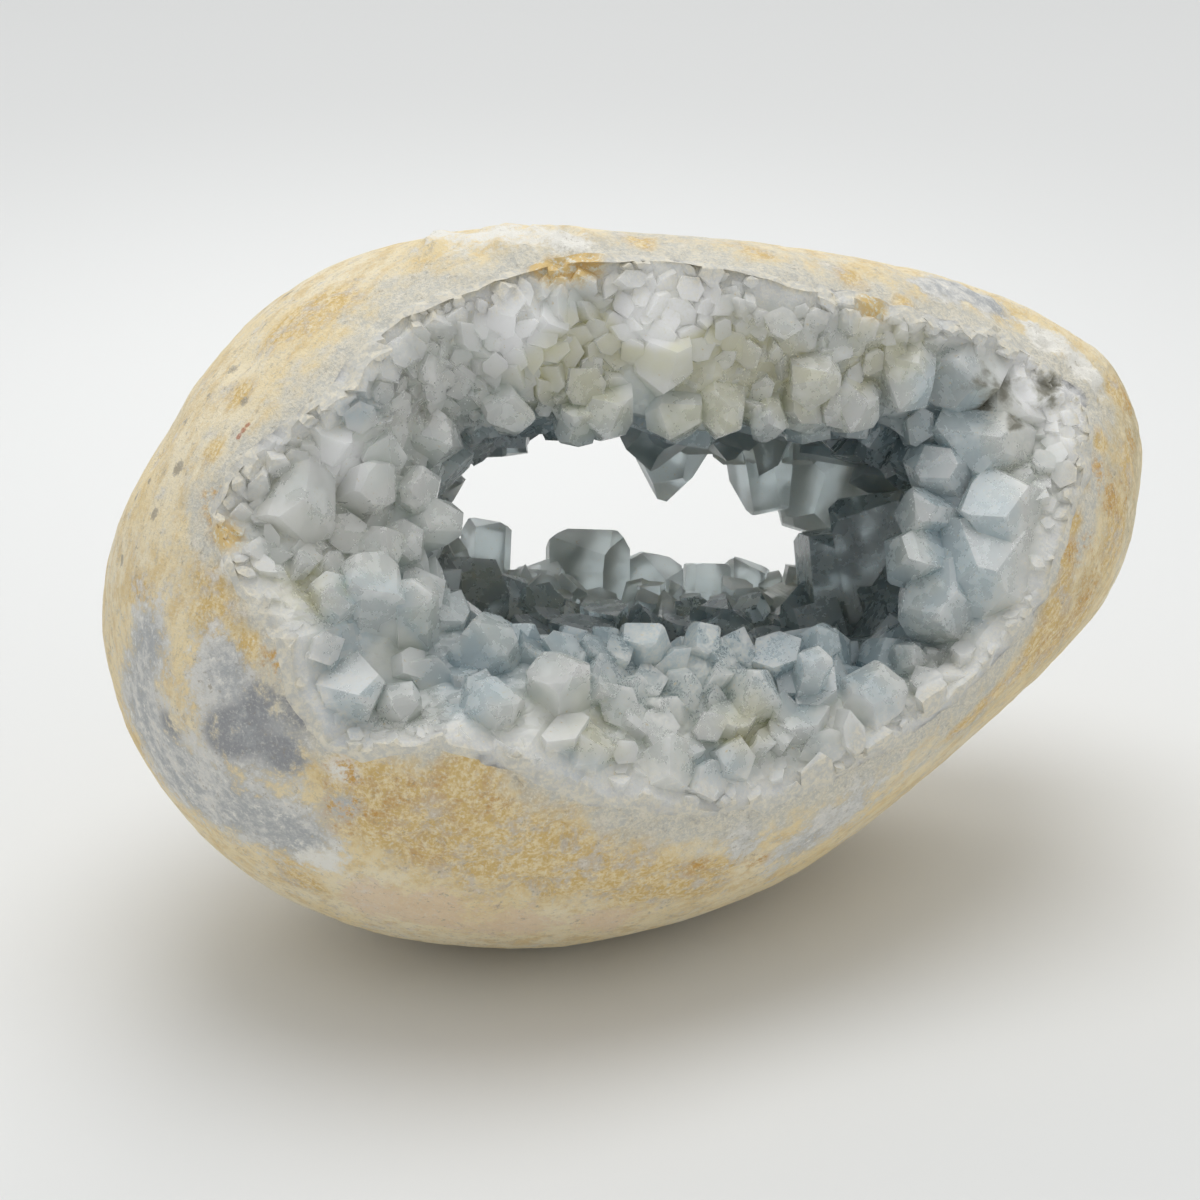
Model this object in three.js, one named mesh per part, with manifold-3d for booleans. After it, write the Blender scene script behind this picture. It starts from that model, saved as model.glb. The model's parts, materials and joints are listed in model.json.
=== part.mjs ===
// Celestite geode: an egg-shaped nodule, ground smooth outside, with a broken window in
// front and a smaller one behind, and between them a hollow lined with blocky crystals.
// Millimetres, +X along the egg to its narrow end, +Z up, standing on z = 0.

import * as THREE from 'three';
import { ConvexGeometry } from 'three/addons/geometries/ConvexGeometry.js';
import { mergeVertices } from 'three/addons/utils/BufferGeometryUtils.js';
import Module from 'manifold-3d';

const wasm = await Module();
wasm.setup();

// The egg: half its length, its radius at the middle and how fast it narrows to +X.
const HALF_LENGTH = 89;
const MIDDLE_RADIUS = 55.4;
const TAPER = 0.2;
const DEPTH_TO_HEIGHT = 0.97;
const EGG_DETAIL = 10;

// Broad flats left by the grinding wheel: the way each faces, and how far out it lies.
const FLAT_SOFTNESS = 3;
const GROUND_FLATS = [
  { facing: [0.224, 0.427, 0.876], distance: 45.35 },
  { facing: [-0.679, 0.55, 0.487], distance: 74.49 },
  { facing: [0.441, -0.624, -0.645], distance: 53.22 },
  { facing: [0.847, -0.497, -0.188], distance: 72.95 },
  { facing: [0.83, -0.035, 0.557], distance: 78.44 },
];
const RESTING_FLAT_Z = -55.2;

// Where the middle of the egg stands over the centre of its footprint, in x and y.
const EGG_MIDDLE = [1.2, -0.7];

// Lumps and hollows of the ground skin: centre, radius and height (negative sinks).
const SKIN_LUMPS = [
  { at: [-35, -6, 53], radius: 11, height: 1.6 },
  { at: [-21, -8, 52], radius: 8, height: 1.2 },
  { at: [-79, 10, 28], radius: 5, height: -2.2 },
  { at: [-84, -18, -2], radius: 8, height: 1.5 },
  { at: [-80, -27, -10], radius: 6, height: 1.4 },
  { at: [52, -16, 35], radius: 6, height: -1.6 },
  { at: [70, -12, 24], radius: 6, height: 1.3 },
];

// The hollow runs along a line that enters the front window and leaves behind, lower down.
const HOLLOW_AZIMUTH_DEG = -26;
const HOLLOW_ELEVATION_DEG = 22;
const HOLLOW_CENTRE = [0, 2];
const ANGLE_STRETCH = 1.7;
const ANGLES = 26;

// Outlines across the hollow, seen along it from the front: [across, up].
const WINDOW_RIM = [
  [-48, 20.7], [-38.6, 32.4], [-27.5, 36.8], [-16.2, 40.9], [-7.6, 41.5], [6.9, 40.7],
  [18.6, 38.1], [33.9, 35.9], [46.8, 33.6], [56.6, 29.6], [64.2, 24.5], [64.4, 17.4],
  [61.3, 8.1], [57.8, -1], [55.5, -7], [49, -14.5], [41.2, -21.8], [31.9, -27.5],
  [18.4, -34.5], [6.6, -37], [-4.9, -35.1], [-13.3, -33.5], [-21.5, -29.1], [-32.4, -26.2],
  [-42.1, -28], [-47.7, -27], [-51.8, -20.8], [-53, -12.5], [-58.7, -5.7], [-62.5, 1.3],
  [-64.1, 5.5], [-57.8, 13.8],
];
const FRONT_THROAT = [
  [-36, 0], [-37, 9], [-33, 19], [-25, 21], [-12, 20], [4, 18.5], [20, 18.5], [33, 22],
  [41, 20], [39, 8], [39, -4], [37, -17], [28, -18], [19, -15], [4, -14], [-10, -14],
  [-22, -14], [-33, -11],
];
const CAVITY_FRONT = oval(-42, 46, -23, 25);
const CAVITY_BACK = oval(-44, 48, -22, 27);
const REAR_THROAT = [
  [-39, 8], [-36, 19], [-20, 23], [0, 22], [15, 19], [30, 17], [39, 11], [37, -1], [20, -4],
  [0, -5], [-20, -5], [-34, -3],
];
const REAR_RIM = oval(-45, 46, -10, 29);
const THROAT_DEPTH = 21;
const REAR_THROAT_DEPTH = 13;
const CAVITY_FRONT_AT = -14;
const CAVITY_BACK_AT = 14;

// The crust: its thickness at each ring of the hollow, and its fit against the rock.
const CRUST_THICKNESS = [1.3, 5, 7, 6.5, 6.5, 6, 4, 1.3];
const CRUST_GAP = 0.35;
const CRUST_BELOW_SKIN = 0.4;
const WELD = 1e-4;

// Large crystals of the front flare: [across, up, half width, half length, tip angle].
const FLARE_CRYSTALS = [
  [-27, -15.5, 5.4, 5.6, 100], [-25.5, -8, 4.2, 3.2, 80], [-18.5, -9.5, 3.6, 3.8, 90],
  [4.4, -8.6, 3.4, 2.8, 90], [-3, -14.5, 3.6, 5, 110], [15.5, -11.2, 3.8, 5, 85],
  [29.5, -9.5, 5.4, 3.2, 95], [27, -14, 5, 3, 80], [28.4, -23, 5.2, 4.4, 60],
  [11, -22, 5.2, 4.6, 80], [1, -20.4, 3.6, 2.6, 60], [-12.6, -29, 4.2, 3.8, 95],
  [-16, -21, 4.8, 5, 90], [-1.6, -31, 4.8, 4.6, 80], [8.2, -30.2, 3.8, 3, 70],
  [-25, -23, 4, 3.4, 80], [-36.5, -12, 3.6, 8.6, 88], [-42.5, -8.5, 4.6, 6, 80],
  [-41.5, -1, 4, 4, 75], [-48, -8, 3.6, 3.4, 60], [-46.5, -21, 6.6, 6, 70],
  [-31.8, 2.5, 3.6, 6, 20], [-38.5, 0.6, 3.4, 3.6, 30], [-44.5, 8.4, 3.6, 3.6, 20],
  [-53, 6.8, 6.6, 3.6, 10], [-56.5, 12.6, 4.4, 3, -20], [-47.8, 16.2, 4.6, 2.8, -20],
  [-38.2, 8.6, 3.4, 3.6, 0], [-35, 17, 4, 4, -30], [-24.6, 22, 3.8, 3.6, -60],
  [-13.6, 20, 3.4, 3.4, -80], [-9.4, 21, 4, 4, -85], [-1.5, 27, 5, 3.6, -80],
  [0.4, 20, 4.6, 3.2, -90], [7, 21.6, 4.2, 3.8, -90], [21, 27, 4.4, 4, -80],
  [26.5, 22.8, 4.6, 4.6, -90], [34.5, 26.8, 5.8, 5.4, -100], [44.5, 28.4, 6.4, 4.8, -120],
  [47, 33, 4, 3, -100], [51.4, 22, 3.6, 3.2, 170], [46.4, 17, 6.8, 6.6, 165],
  [41.6, 12.4, 4.8, 4.4, 190], [49, 6, 5.8, 4.4, 170], [40.4, 5.6, 4, 4.6, 175],
  [49, -3.4, 6, 5.8, 160], [41.8, -8.2, 5, 6, 140], [36, -0.8, 5, 6.6, 170],
  [57, 6.6, 4, 3.6, 170], [54, -12, 3.6, 3, 140], [55.5, 24.4, 3.4, 2.8, 200],
];

// Large crystals around the rear mouth, listed in the same way.
const REAR_CRYSTALS = [
  [-27, -4, 5.4, 4.6, 95], [-13, -5, 6.2, 5, 88], [0, -5, 4.6, 4, 92], [12, -4.5, 5, 4.4, 84],
  [28, -3, 8.4, 6, 100], [2, 21, 6, 5, -88], [17, 19, 5, 5.4, -84], [30, 17, 6, 7, -80],
  [-16, 22, 5, 4, -95], [-34, 12, 5, 4, -10],
];

// Crystals further in and along the rims, scattered evenly over [from, to] of the rings.
const SCATTERED_CRYSTALS = [
  { from: 0.25, to: 0.9, count: 6, halfWidth: [3.2, 4.2], stand: 1.5 },
  { from: 2.3, to: 4.7, count: 22, halfWidth: [6, 8.5], stand: 6 },
  { from: 5.5, to: 6.6, count: 10, halfWidth: [4, 5.6], stand: 2.6 },
];

const rightway = new THREE.Vector3();
const upway = new THREE.Vector3();
const outward = new THREE.Vector3();
{
  const azimuth = THREE.MathUtils.degToRad(HOLLOW_AZIMUTH_DEG);
  const elevation = THREE.MathUtils.degToRad(HOLLOW_ELEVATION_DEG);
  const level = Math.cos(elevation);
  outward.set(Math.sin(azimuth) * level, -Math.cos(azimuth) * level, Math.sin(elevation));
  rightway.set(Math.cos(azimuth), Math.sin(azimuth), 0);
  upway.crossVectors(outward, rightway);
}

const flats = GROUND_FLATS.map(({ facing, distance }) => ({
  normal: new THREE.Vector3(...facing).normalize(),
  distance,
}));

let seed = 15;

function random(low = 0, high = 1) {
  seed = (seed * 16807) % 2147483647;
  return low + (high - low) * (seed / 2147483647);
}

// A rounded rectangle, as [across, up] points.
function oval(left, right, bottom, top) {
  const squareness = 2 / 2.3;
  const points = [];
  for (let k = 0; k < 16; k++) {
    const angle = (k / 16) * 2 * Math.PI;
    const c = Math.cos(angle);
    const s = Math.sin(angle);
    const across = Math.sign(c) * Math.abs(c) ** squareness;
    const up = Math.sign(s) * Math.abs(s) ** squareness;
    points.push([
      (left + right) / 2 + ((right - left) / 2) * across,
      (bottom + top) / 2 + ((top - bottom) / 2) * up,
    ]);
  }
  return points;
}

// The point of the ground skin that lies in direction u from the middle of the egg.
function skinPoint(u) {
  const girth = MIDDLE_RADIUS * (1 - TAPER * u.x);
  const point = new THREE.Vector3(HALF_LENGTH * u.x, DEPTH_TO_HEIGHT * girth * u.y, girth * u.z);
  for (const { normal, distance } of flats) {
    const past = (point.dot(normal) - distance) / FLAT_SOFTNESS;
    point.addScaledVector(normal, -FLAT_SOFTNESS * Math.log1p(Math.exp(Math.min(past, 60))));
    if (past > 60) point.addScaledVector(normal, -FLAT_SOFTNESS * (past - 60));
  }
  for (const { at, radius, height } of SKIN_LUMPS) {
    const away = point.distanceTo(new THREE.Vector3(...at)) / radius;
    point.addScaledVector(u, height * Math.exp(-away * away));
  }
  return point;
}

// Below zero inside the egg, above zero outside.
function outsideEgg(point) {
  const along = point.x / HALF_LENGTH;
  const girth = MIDDLE_RADIUS * (1 - TAPER * along);
  const deep = point.y / (DEPTH_TO_HEIGHT * girth);
  const round = along ** 2 + deep ** 2 + (point.z / girth) ** 2 - 1;
  const pastFlats = flats.map(({ normal, distance }) => point.dot(normal) - distance);
  return Math.max(round * 40, ...pastFlats);
}

function inHollowFrame(across, up, depth) {
  return new THREE.Vector3()
    .addScaledVector(rightway, across)
    .addScaledVector(upway, up)
    .addScaledVector(outward, -depth);
}

// How deep the skin lies at [across, up]: side -1 is the front, +1 the back.
function skinDepth(across, up, side) {
  let outer = side * 80;
  let inner = outer;
  while (outsideEgg(inHollowFrame(across, up, inner)) > 0) {
    outer = inner;
    inner -= side;
  }
  for (let k = 0; k < 24; k++) {
    const middle = (outer + inner) / 2;
    if (outsideEgg(inHollowFrame(across, up, middle)) > 0) outer = middle;
    else inner = middle;
  }
  return inner;
}

// Distance from the hollow's centre line to an outline, as a function of the angle.
function outlineRadius(outline) {
  const [centreAcross, centreUp] = HOLLOW_CENTRE;
  const polar = outline.map(([across, up]) => ({
    angle: Math.atan2((up - centreUp) * ANGLE_STRETCH, across - centreAcross),
    radius: Math.hypot(across - centreAcross, up - centreUp),
  }));
  polar.sort((a, b) => a.angle - b.angle);
  const first = polar[0];
  const last = polar[polar.length - 1];
  polar.unshift({ angle: last.angle - 2 * Math.PI, radius: last.radius });
  polar.push({ angle: first.angle + 2 * Math.PI, radius: first.radius });
  return (angle) => {
    const wrapped = Math.atan2(Math.sin(angle), Math.cos(angle));
    const next = polar.findIndex((p) => p.angle > wrapped);
    const a = polar[next - 1];
    const b = polar[next];
    return THREE.MathUtils.mapLinear(wrapped, a.angle, b.angle, a.radius, b.radius);
  };
}

function directionAt(angle) {
  const across = Math.cos(angle);
  const up = Math.sin(angle) / ANGLE_STRETCH;
  const length = Math.hypot(across, up);
  return [across / length, up / length];
}

function ringPoint(radius, angle, depthAt) {
  const [across, up] = directionAt(angle);
  const r = HOLLOW_CENTRE[0] + radius * across;
  const u = HOLLOW_CENTRE[1] + radius * up;
  return { across: r, up: u, depth: depthAt(r, u), radius };
}

const radii = {
  windowRim: outlineRadius(WINDOW_RIM),
  frontThroat: outlineRadius(FRONT_THROAT),
  cavityFront: outlineRadius(CAVITY_FRONT),
  cavityBack: outlineRadius(CAVITY_BACK),
  rearThroat: outlineRadius(REAR_THROAT),
  rearRim: outlineRadius(REAR_RIM),
};

function halfway(a, b) {
  return {
    across: (a.across + b.across) / 2,
    up: (a.up + b.up) / 2,
    depth: (a.depth + b.depth) / 2,
    radius: (a.radius + b.radius) / 2,
  };
}

// The eight rings of the hollow at one angle, from the window rim to the rear rim.
const ringCache = new Map();

function ringsAt(angle) {
  const key = angle.toFixed(4);
  if (ringCache.has(key)) return ringCache.get(key);
  const rim = ringPoint(radii.windowRim(angle), angle, (r, u) => skinDepth(r, u, -1));
  const throat = ringPoint(
    radii.frontThroat(angle), angle, (r, u) => skinDepth(r, u, -1) + THROAT_DEPTH);
  const front = ringPoint(radii.cavityFront(angle), angle, () => CAVITY_FRONT_AT);
  const back = ringPoint(radii.cavityBack(angle), angle, () => CAVITY_BACK_AT);
  const rear = ringPoint(
    radii.rearThroat(angle), angle, (r, u) => skinDepth(r, u, 1) - REAR_THROAT_DEPTH);
  const rearRim = ringPoint(radii.rearRim(angle), angle, (r, u) => skinDepth(r, u, 1));
  const rings = [
    rim, halfway(rim, throat), throat, front, back, rear, halfway(rear, rearRim), rearRim,
  ];
  ringCache.set(key, rings);
  return rings;
}

// A point of the hollow's wall: ring 0 is the window rim, 7 the rear rim.
function wallPoint(ring, angle) {
  const rings = ringsAt(angle);
  const k = Math.min(Math.floor(ring), rings.length - 2);
  const t = ring - k;
  const mix = (name) => rings[k][name] + (rings[k + 1][name] - rings[k][name]) * t;
  return inHollowFrame(mix('across'), mix('up'), mix('depth'));
}

// The way the wall faces at a point: into the hollow.
function wallFacing(ring, angle) {
  const before = wallPoint(Math.max(ring - 0.1, 0), angle);
  const after = wallPoint(Math.min(ring + 0.1, 7), angle);
  const around = wallPoint(ring, angle + 0.05).sub(wallPoint(ring, angle - 0.05));
  return new THREE.Vector3().crossVectors(after.sub(before), around).normalize().negate();
}

// The wall point moved out into the rock.
function grownWallPoint(ring, angle, grow) {
  const [across, up] = directionAt(angle);
  const way = inHollowFrame(0.7 * across, 0.7 * up, 0).sub(wallFacing(ring, angle));
  return wallPoint(ring, angle).addScaledVector(way.normalize(), grow);
}

function toSolid(geometry) {
  geometry.deleteAttribute('normal');
  geometry.deleteAttribute('uv');
  const merged = mergeVertices(geometry, WELD);
  return new wasm.Manifold(new wasm.Mesh({
    numProp: 3,
    vertProperties: new Float32Array(merged.attributes.position.array),
    triVerts: new Uint32Array(merged.index.array),
  }));
}

function toGeometry(solid) {
  const { vertProperties, triVerts } = solid.getMesh();
  const geometry = new THREE.BufferGeometry();
  geometry.setAttribute('position', new THREE.BufferAttribute(vertProperties, 3));
  geometry.setIndex(new THREE.BufferAttribute(triVerts, 1));
  return geometry;
}

// The largest body of a solid, without the splinters that a cut leaves beside it.
function mainBody(solid) {
  return solid.decompose().sort((a, b) => b.volume() - a.volume())[0];
}

function toMesh(name, solid, material) {
  const geometry = toGeometry(solid);
  geometry.computeVertexNormals();
  const mesh = new THREE.Mesh(geometry, material);
  mesh.name = name;
  return mesh;
}

function eggSolid(sunk) {
  const geometry = new THREE.IcosahedronGeometry(1, EGG_DETAIL);
  const position = geometry.attributes.position;
  const u = new THREE.Vector3();
  for (let k = 0; k < position.count; k++) {
    u.fromBufferAttribute(position, k).normalize();
    const point = skinPoint(u).addScaledVector(u, -sunk);
    position.setXYZ(k, point.x, point.y, point.z);
  }
  return toSolid(geometry);
}

// The hollow as a closed plug that runs out past the skin at both ends.
function hollowSolid(growAtRing) {
  const lastRing = CRUST_THICKNESS.length - 1;
  const rows = lastRing + 2;
  const geometry = new THREE.CylinderGeometry(1, 1, rows, ANGLES, rows);
  const position = geometry.attributes.position;
  const centre = inHollowFrame(HOLLOW_CENTRE[0], HOLLOW_CENTRE[1], 0);
  for (let k = 0; k < position.count; k++) {
    const row = Math.round(rows / 2 - position.getY(k));
    const ring = THREE.MathUtils.clamp(row - 1, 0, lastRing);
    const angle = Math.atan2(position.getX(k), position.getZ(k));
    const onAxis = Math.hypot(position.getX(k), position.getZ(k)) < 0.5;
    const point = grownWallPoint(ring, angle, growAtRing(ring));
    if (row === 0) point.addScaledVector(outward, 70);
    if (row === rows) point.addScaledVector(outward, -60);
    if (onAxis) point.copy(centre).addScaledVector(outward, row === 0 ? 110 : -110);
    position.setXYZ(k, point.x, point.y, point.z);
  }
  return toSolid(geometry);
}

// Corners of the convex body that the planes { normal, distance } enclose.
function cornersOf(planes) {
  const corners = [];
  const matrix = new THREE.Matrix3();
  for (let i = 0; i < planes.length; i++) {
    for (let j = i + 1; j < planes.length; j++) {
      for (let k = j + 1; k < planes.length; k++) {
        const [a, b, c] = [planes[i], planes[j], planes[k]];
        matrix.set(...a.normal.toArray(), ...b.normal.toArray(), ...c.normal.toArray());
        if (Math.abs(matrix.determinant()) < 1e-6) continue;
        const corner = new THREE.Vector3(a.distance, b.distance, c.distance);
        corner.applyMatrix3(matrix.invert());
        const enclosed = planes.every((p) => corner.dot(p.normal) < p.distance + 1e-6);
        const known = corners.some((p) => p.distanceTo(corner) < 1e-3);
        if (enclosed && !known) corners.push(corner);
      }
    }
  }
  return corners;
}

// A blocky crystal: a rhombic prism with one edge cut and a chisel tip, its foot at z = 0
// and its tip near `length`.
function crystalCorners(halfWidth, length) {
  const planes = [{ normal: new THREE.Vector3(0, 0, -1), distance: 0 }];
  const addPlane = (degrees, steepness, through, drop) => {
    const angle = THREE.MathUtils.degToRad(degrees);
    const steep = THREE.MathUtils.degToRad(steepness);
    const normal = new THREE.Vector3(
      Math.cos(angle) * Math.sin(steep), Math.sin(angle) * Math.sin(steep), Math.cos(steep));
    planes.push({ normal, distance: normal.dot(through) + drop });
  };
  const axis = new THREE.Vector3();
  for (const degrees of [48, 132, 228, 312]) {
    addPlane(degrees, 90, axis, halfWidth * random(0.8, 1));
  }
  addPlane(0, 90, axis, halfWidth * random(0.85, 1));
  const tip = new THREE.Vector3(
    halfWidth * random(-0.25, 0.25), halfWidth * random(-0.25, 0.25), length);
  addPlane(random(-10, 10), random(42, 54), tip, 0);
  addPlane(random(170, 190), random(42, 54), tip, 0);
  addPlane(random(75, 105), random(50, 65), tip, halfWidth * random(0.1, 0.25));
  return cornersOf(planes);
}

// Stands a crystal with its foot at `foot`, along `axis`, turned about that axis.
function crystalSolid(foot, axis, halfWidth, length, turn) {
  const stand = new THREE.Quaternion().setFromUnitVectors(new THREE.Vector3(0, 0, 1), axis);
  const twist = new THREE.Quaternion().setFromAxisAngle(axis, turn);
  stand.premultiply(twist);
  const corners = crystalCorners(halfWidth, length);
  corners.forEach((corner) => corner.applyQuaternion(stand).add(foot));
  return toSolid(new ConvexGeometry(corners));
}

const crystals = [];

// Stands one listed crystal on the wall. `towardFront` says how far it leans to the window.
function addListedCrystal([across, up, halfWidth, halfLength, tipAngle], ringAt, towardFront) {
  const dr = across - HOLLOW_CENTRE[0];
  const du = up - HOLLOW_CENTRE[1];
  const angle = Math.atan2(du * ANGLE_STRETCH, dr);
  const ring = ringAt(angle, Math.hypot(dr, du));
  const tip = THREE.MathUtils.degToRad(tipAngle);
  const axis = new THREE.Vector3()
    .addScaledVector(rightway, Math.cos(tip))
    .addScaledVector(upway, Math.sin(tip))
    .addScaledVector(outward, towardFront)
    .normalize();
  const foot = wallPoint(ring, angle).addScaledVector(axis, -0.7 * halfLength - 1);
  const length = 1.8 * halfLength + 2.5;
  crystals.push(crystalSolid(foot, axis, halfWidth, length, random(0, Math.PI)));
}

// The ring of the front flare that lies `radius` from the hollow's centre line.
function flareRing(angle, radius) {
  const rim = radii.windowRim(angle);
  const throat = radii.frontThroat(angle);
  return THREE.MathUtils.clamp((2 * (rim - radius)) / (rim - throat), 0.15, 2.1);
}

for (const crystal of FLARE_CRYSTALS) addListedCrystal(crystal, flareRing, 1);
for (const crystal of REAR_CRYSTALS) addListedCrystal(crystal, () => 4.9, -0.2);

for (const { from, to, count, halfWidth, stand } of SCATTERED_CRYSTALS) {
  const goldenTurn = Math.PI * (3 - Math.sqrt(5));
  for (let k = 0; k < count; k++) {
    const ring = from + ((to - from) * (k + 0.5)) / count;
    const angle = k * goldenTurn + random(-0.15, 0.15);
    const size = random(...halfWidth);
    const sway = new THREE.Vector3(random(-0.5, 0.5), random(-0.5, 0.5), random(-0.5, 0.5));
    const axis = wallFacing(ring, angle).add(sway).normalize();
    const foot = wallPoint(ring, angle).addScaledVector(axis, -3.5);
    const length = 3.5 + stand * random(0.7, 1.3);
    crystals.push(crystalSolid(foot, axis, size, length, random(0, Math.PI)));
  }
}

// The rock: the egg with its resting flat and the hollow taken out.
const egg = eggSolid(0);
const below = new THREE.BoxGeometry(400, 400, 200);
below.translate(0, 0, RESTING_FLAT_Z - 100);
const rockHollow = hollowSolid((ring) => CRUST_THICKNESS[ring]);
const rock = egg.subtract(toSolid(below)).subtract(rockHollow);

// The crust: what fills the room between the rock and the open space, and the space is the
// hollow less the crystals that stand in it.
const space = mainBody(hollowSolid(() => 0).subtract(wasm.Manifold.union(crystals)));
const crustRoom = hollowSolid((ring) => CRUST_THICKNESS[ring] - CRUST_GAP);
const crust = mainBody(crustRoom.intersect(eggSolid(CRUST_BELOW_SKIN)).subtract(space));

const rockMaterial = new THREE.MeshStandardMaterial({
  color: 0xc9bb98,
  roughness: 0.85,
  metalness: 0,
});
const crystalMaterial = new THREE.MeshStandardMaterial({
  color: 0x9fb2bf,
  roughness: 0.3,
  metalness: 0,
});

const geode = new THREE.Group();
geode.add(toMesh('rock_shell', rock, rockMaterial));
geode.add(toMesh('crystal_crust', crust, crystalMaterial));
geode.position.set(...EGG_MIDDLE, -RESTING_FLAT_Z);

export default geode;
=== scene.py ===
# Celestite geode: an egg of nodule rock, ground smooth outside and open right through, with
# a hollow lined with blocky pale blue crystals. It rests on a small flat ground underneath.
# Working sizes are millimetres in the egg's own frame; finished pieces are in metres.
import json
import math
import random
from functools import reduce

import bmesh
import bpy
import numpy as np
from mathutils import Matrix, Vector, noise

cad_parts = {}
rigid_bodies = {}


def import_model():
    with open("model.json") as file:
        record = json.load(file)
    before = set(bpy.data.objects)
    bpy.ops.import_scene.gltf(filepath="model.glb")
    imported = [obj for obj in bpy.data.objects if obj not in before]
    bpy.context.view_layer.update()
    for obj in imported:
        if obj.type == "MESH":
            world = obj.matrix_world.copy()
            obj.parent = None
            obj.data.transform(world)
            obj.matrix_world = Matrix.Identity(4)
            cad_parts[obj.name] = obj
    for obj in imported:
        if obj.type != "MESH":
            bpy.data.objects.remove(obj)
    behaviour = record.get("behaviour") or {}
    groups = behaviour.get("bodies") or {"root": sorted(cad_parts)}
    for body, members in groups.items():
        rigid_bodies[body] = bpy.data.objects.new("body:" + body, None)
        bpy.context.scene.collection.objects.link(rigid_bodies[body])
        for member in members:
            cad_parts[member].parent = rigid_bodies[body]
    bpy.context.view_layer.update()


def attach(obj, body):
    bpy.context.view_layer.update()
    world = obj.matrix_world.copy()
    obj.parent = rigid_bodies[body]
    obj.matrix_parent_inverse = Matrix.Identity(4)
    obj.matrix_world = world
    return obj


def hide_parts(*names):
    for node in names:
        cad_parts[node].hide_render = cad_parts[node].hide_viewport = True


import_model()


# THE NODULE. The rock egg was ground on a wheel, which left five broad soft flats, a few
# lumps and pits, and a small flat underneath that it rests on.
HALF_LENGTH = 89.0
MIDDLE_RADIUS = 55.4
TAPER = 0.2
DEPTH_TO_HEIGHT = 0.97
FLAT_SOFTNESS = 3.0
GROUND_FLATS = [
    ((0.224, 0.427, 0.876), 45.35), ((-0.679, 0.55, 0.487), 74.49),
    ((0.441, -0.624, -0.645), 53.22), ((0.847, -0.497, -0.188), 72.95),
    ((0.83, -0.035, 0.557), 78.44),
]
RESTING_FLAT_Z = -55.2
EGG_MIDDLE = np.array([1.2, -0.7, 55.2])
EGG_FINENESS = 7
MM = 0.001

# Lumps and pits of the skin: centre, radius and height (negative sinks).
SKIN_LUMPS = [
    ((-35, -6, 53), 11, 1.6), ((-21, -8, 52), 8, 1.2), ((-79, 10, 28), 5, -2.2),
    ((-84, -18, -2), 8, 1.5), ((-80, -27, -10), 6, 1.4), ((52, -16, 35), 6, -1.6),
    ((70, -12, 24), 6, 1.3), ((-68, 1, 41.5), 3.4, -1),
]


def unit(rows):
    return rows / np.linalg.norm(rows, axis=-1, keepdims=True)


def swell(points, spots):
    """Sum of soft round spots, each a centre and a radius, as 0 to about 1 per point."""
    total = np.zeros(len(points))
    for *centre, radius in spots:
        away = np.linalg.norm(points - np.array(centre), axis=1) / radius
        total += np.exp(-away ** 2)
    return total


def grain(points, size, seed, octaves=3):
    """Natural unevenness of about -1 to 1, whose largest lumps are `size` mm across."""
    shift = Vector((seed * 17.3, seed * 5.1, -seed * 9.7))
    return np.array([noise.fractal(Vector(p) / size + shift, 1.0, 2.0, octaves) for p in points])


def ground_skin(ways):
    """Points of the ground skin that lie in the given directions from the egg's middle."""
    girth = MIDDLE_RADIUS * (1 - TAPER * ways[:, 0])
    points = np.stack(
        [HALF_LENGTH * ways[:, 0], DEPTH_TO_HEIGHT * girth * ways[:, 1], girth * ways[:, 2]], 1)
    for facing, distance in GROUND_FLATS:
        normal = unit(np.array(facing))
        past = np.logaddexp(0, (points @ normal - distance) / FLAT_SOFTNESS)
        points -= np.outer(FLAT_SOFTNESS * past, normal)
    for at, radius, height in SKIN_LUMPS:
        points += ways * (height * swell(points, [(*at, radius)]))[:, None]
    return points


def mesh_from(build, name):
    """Turns a bmesh into a plain mesh and frees it."""
    mesh = bpy.data.meshes.new(name)
    build.to_mesh(mesh)
    build.free()
    return mesh


def placed(name, data):
    """A new object of the scene that shows a mesh, lamp or camera."""
    made = bpy.data.objects.new(name, data)
    bpy.context.scene.collection.objects.link(made)
    return made


def worked_out(carrier):
    """The plain mesh that an object's modifier makes; the object itself is removed."""
    made = bpy.data.meshes.new_from_object(
        carrier.evaluated_get(bpy.context.evaluated_depsgraph_get()))
    bpy.data.objects.remove(carrier)
    return made


def egg_mesh(name, relief):
    """A closed egg; `relief` gives how far each point stands out from the ground skin."""
    build = bmesh.new()
    bmesh.ops.create_icosphere(build, subdivisions=EGG_FINENESS, radius=1)
    ways = unit(np.array([v.co for v in build.verts]))
    points = ground_skin(ways)
    points += ways * relief(points)[:, None]
    points[:, 2] = np.maximum(points[:, 2], RESTING_FLAT_Z)
    for vert, point in zip(build.verts, points):
        vert.co = point
    return mesh_from(build, name)


# Where the skin is coarse and pitted instead of ground smooth, and its rough chalk lumps.
COARSE_SKIN = [
    (-52, -46, -16, 16), (-66, -38, -12, 9), (-40, -49, -22, 14), (-22, -46, -28, 14),
    (-80, -22, 14, 8), (-76, -28, 9, 7), (52, -18, 36, 8), (64, -20, 24, 9), (-30, -6, 54, 12),
]
CHALK_LUMPS = [
    (-29.6, -4.4, 55.5, 8), (-22.1, -10.5, 55.3, 5), (-36.5, 0.1, 54.6, 5), (62.9, -20.9, 25.8, 5),
    (57.9, -15.3, 33, 5), (50.7, -14.8, 37.3, 4),
]


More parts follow.
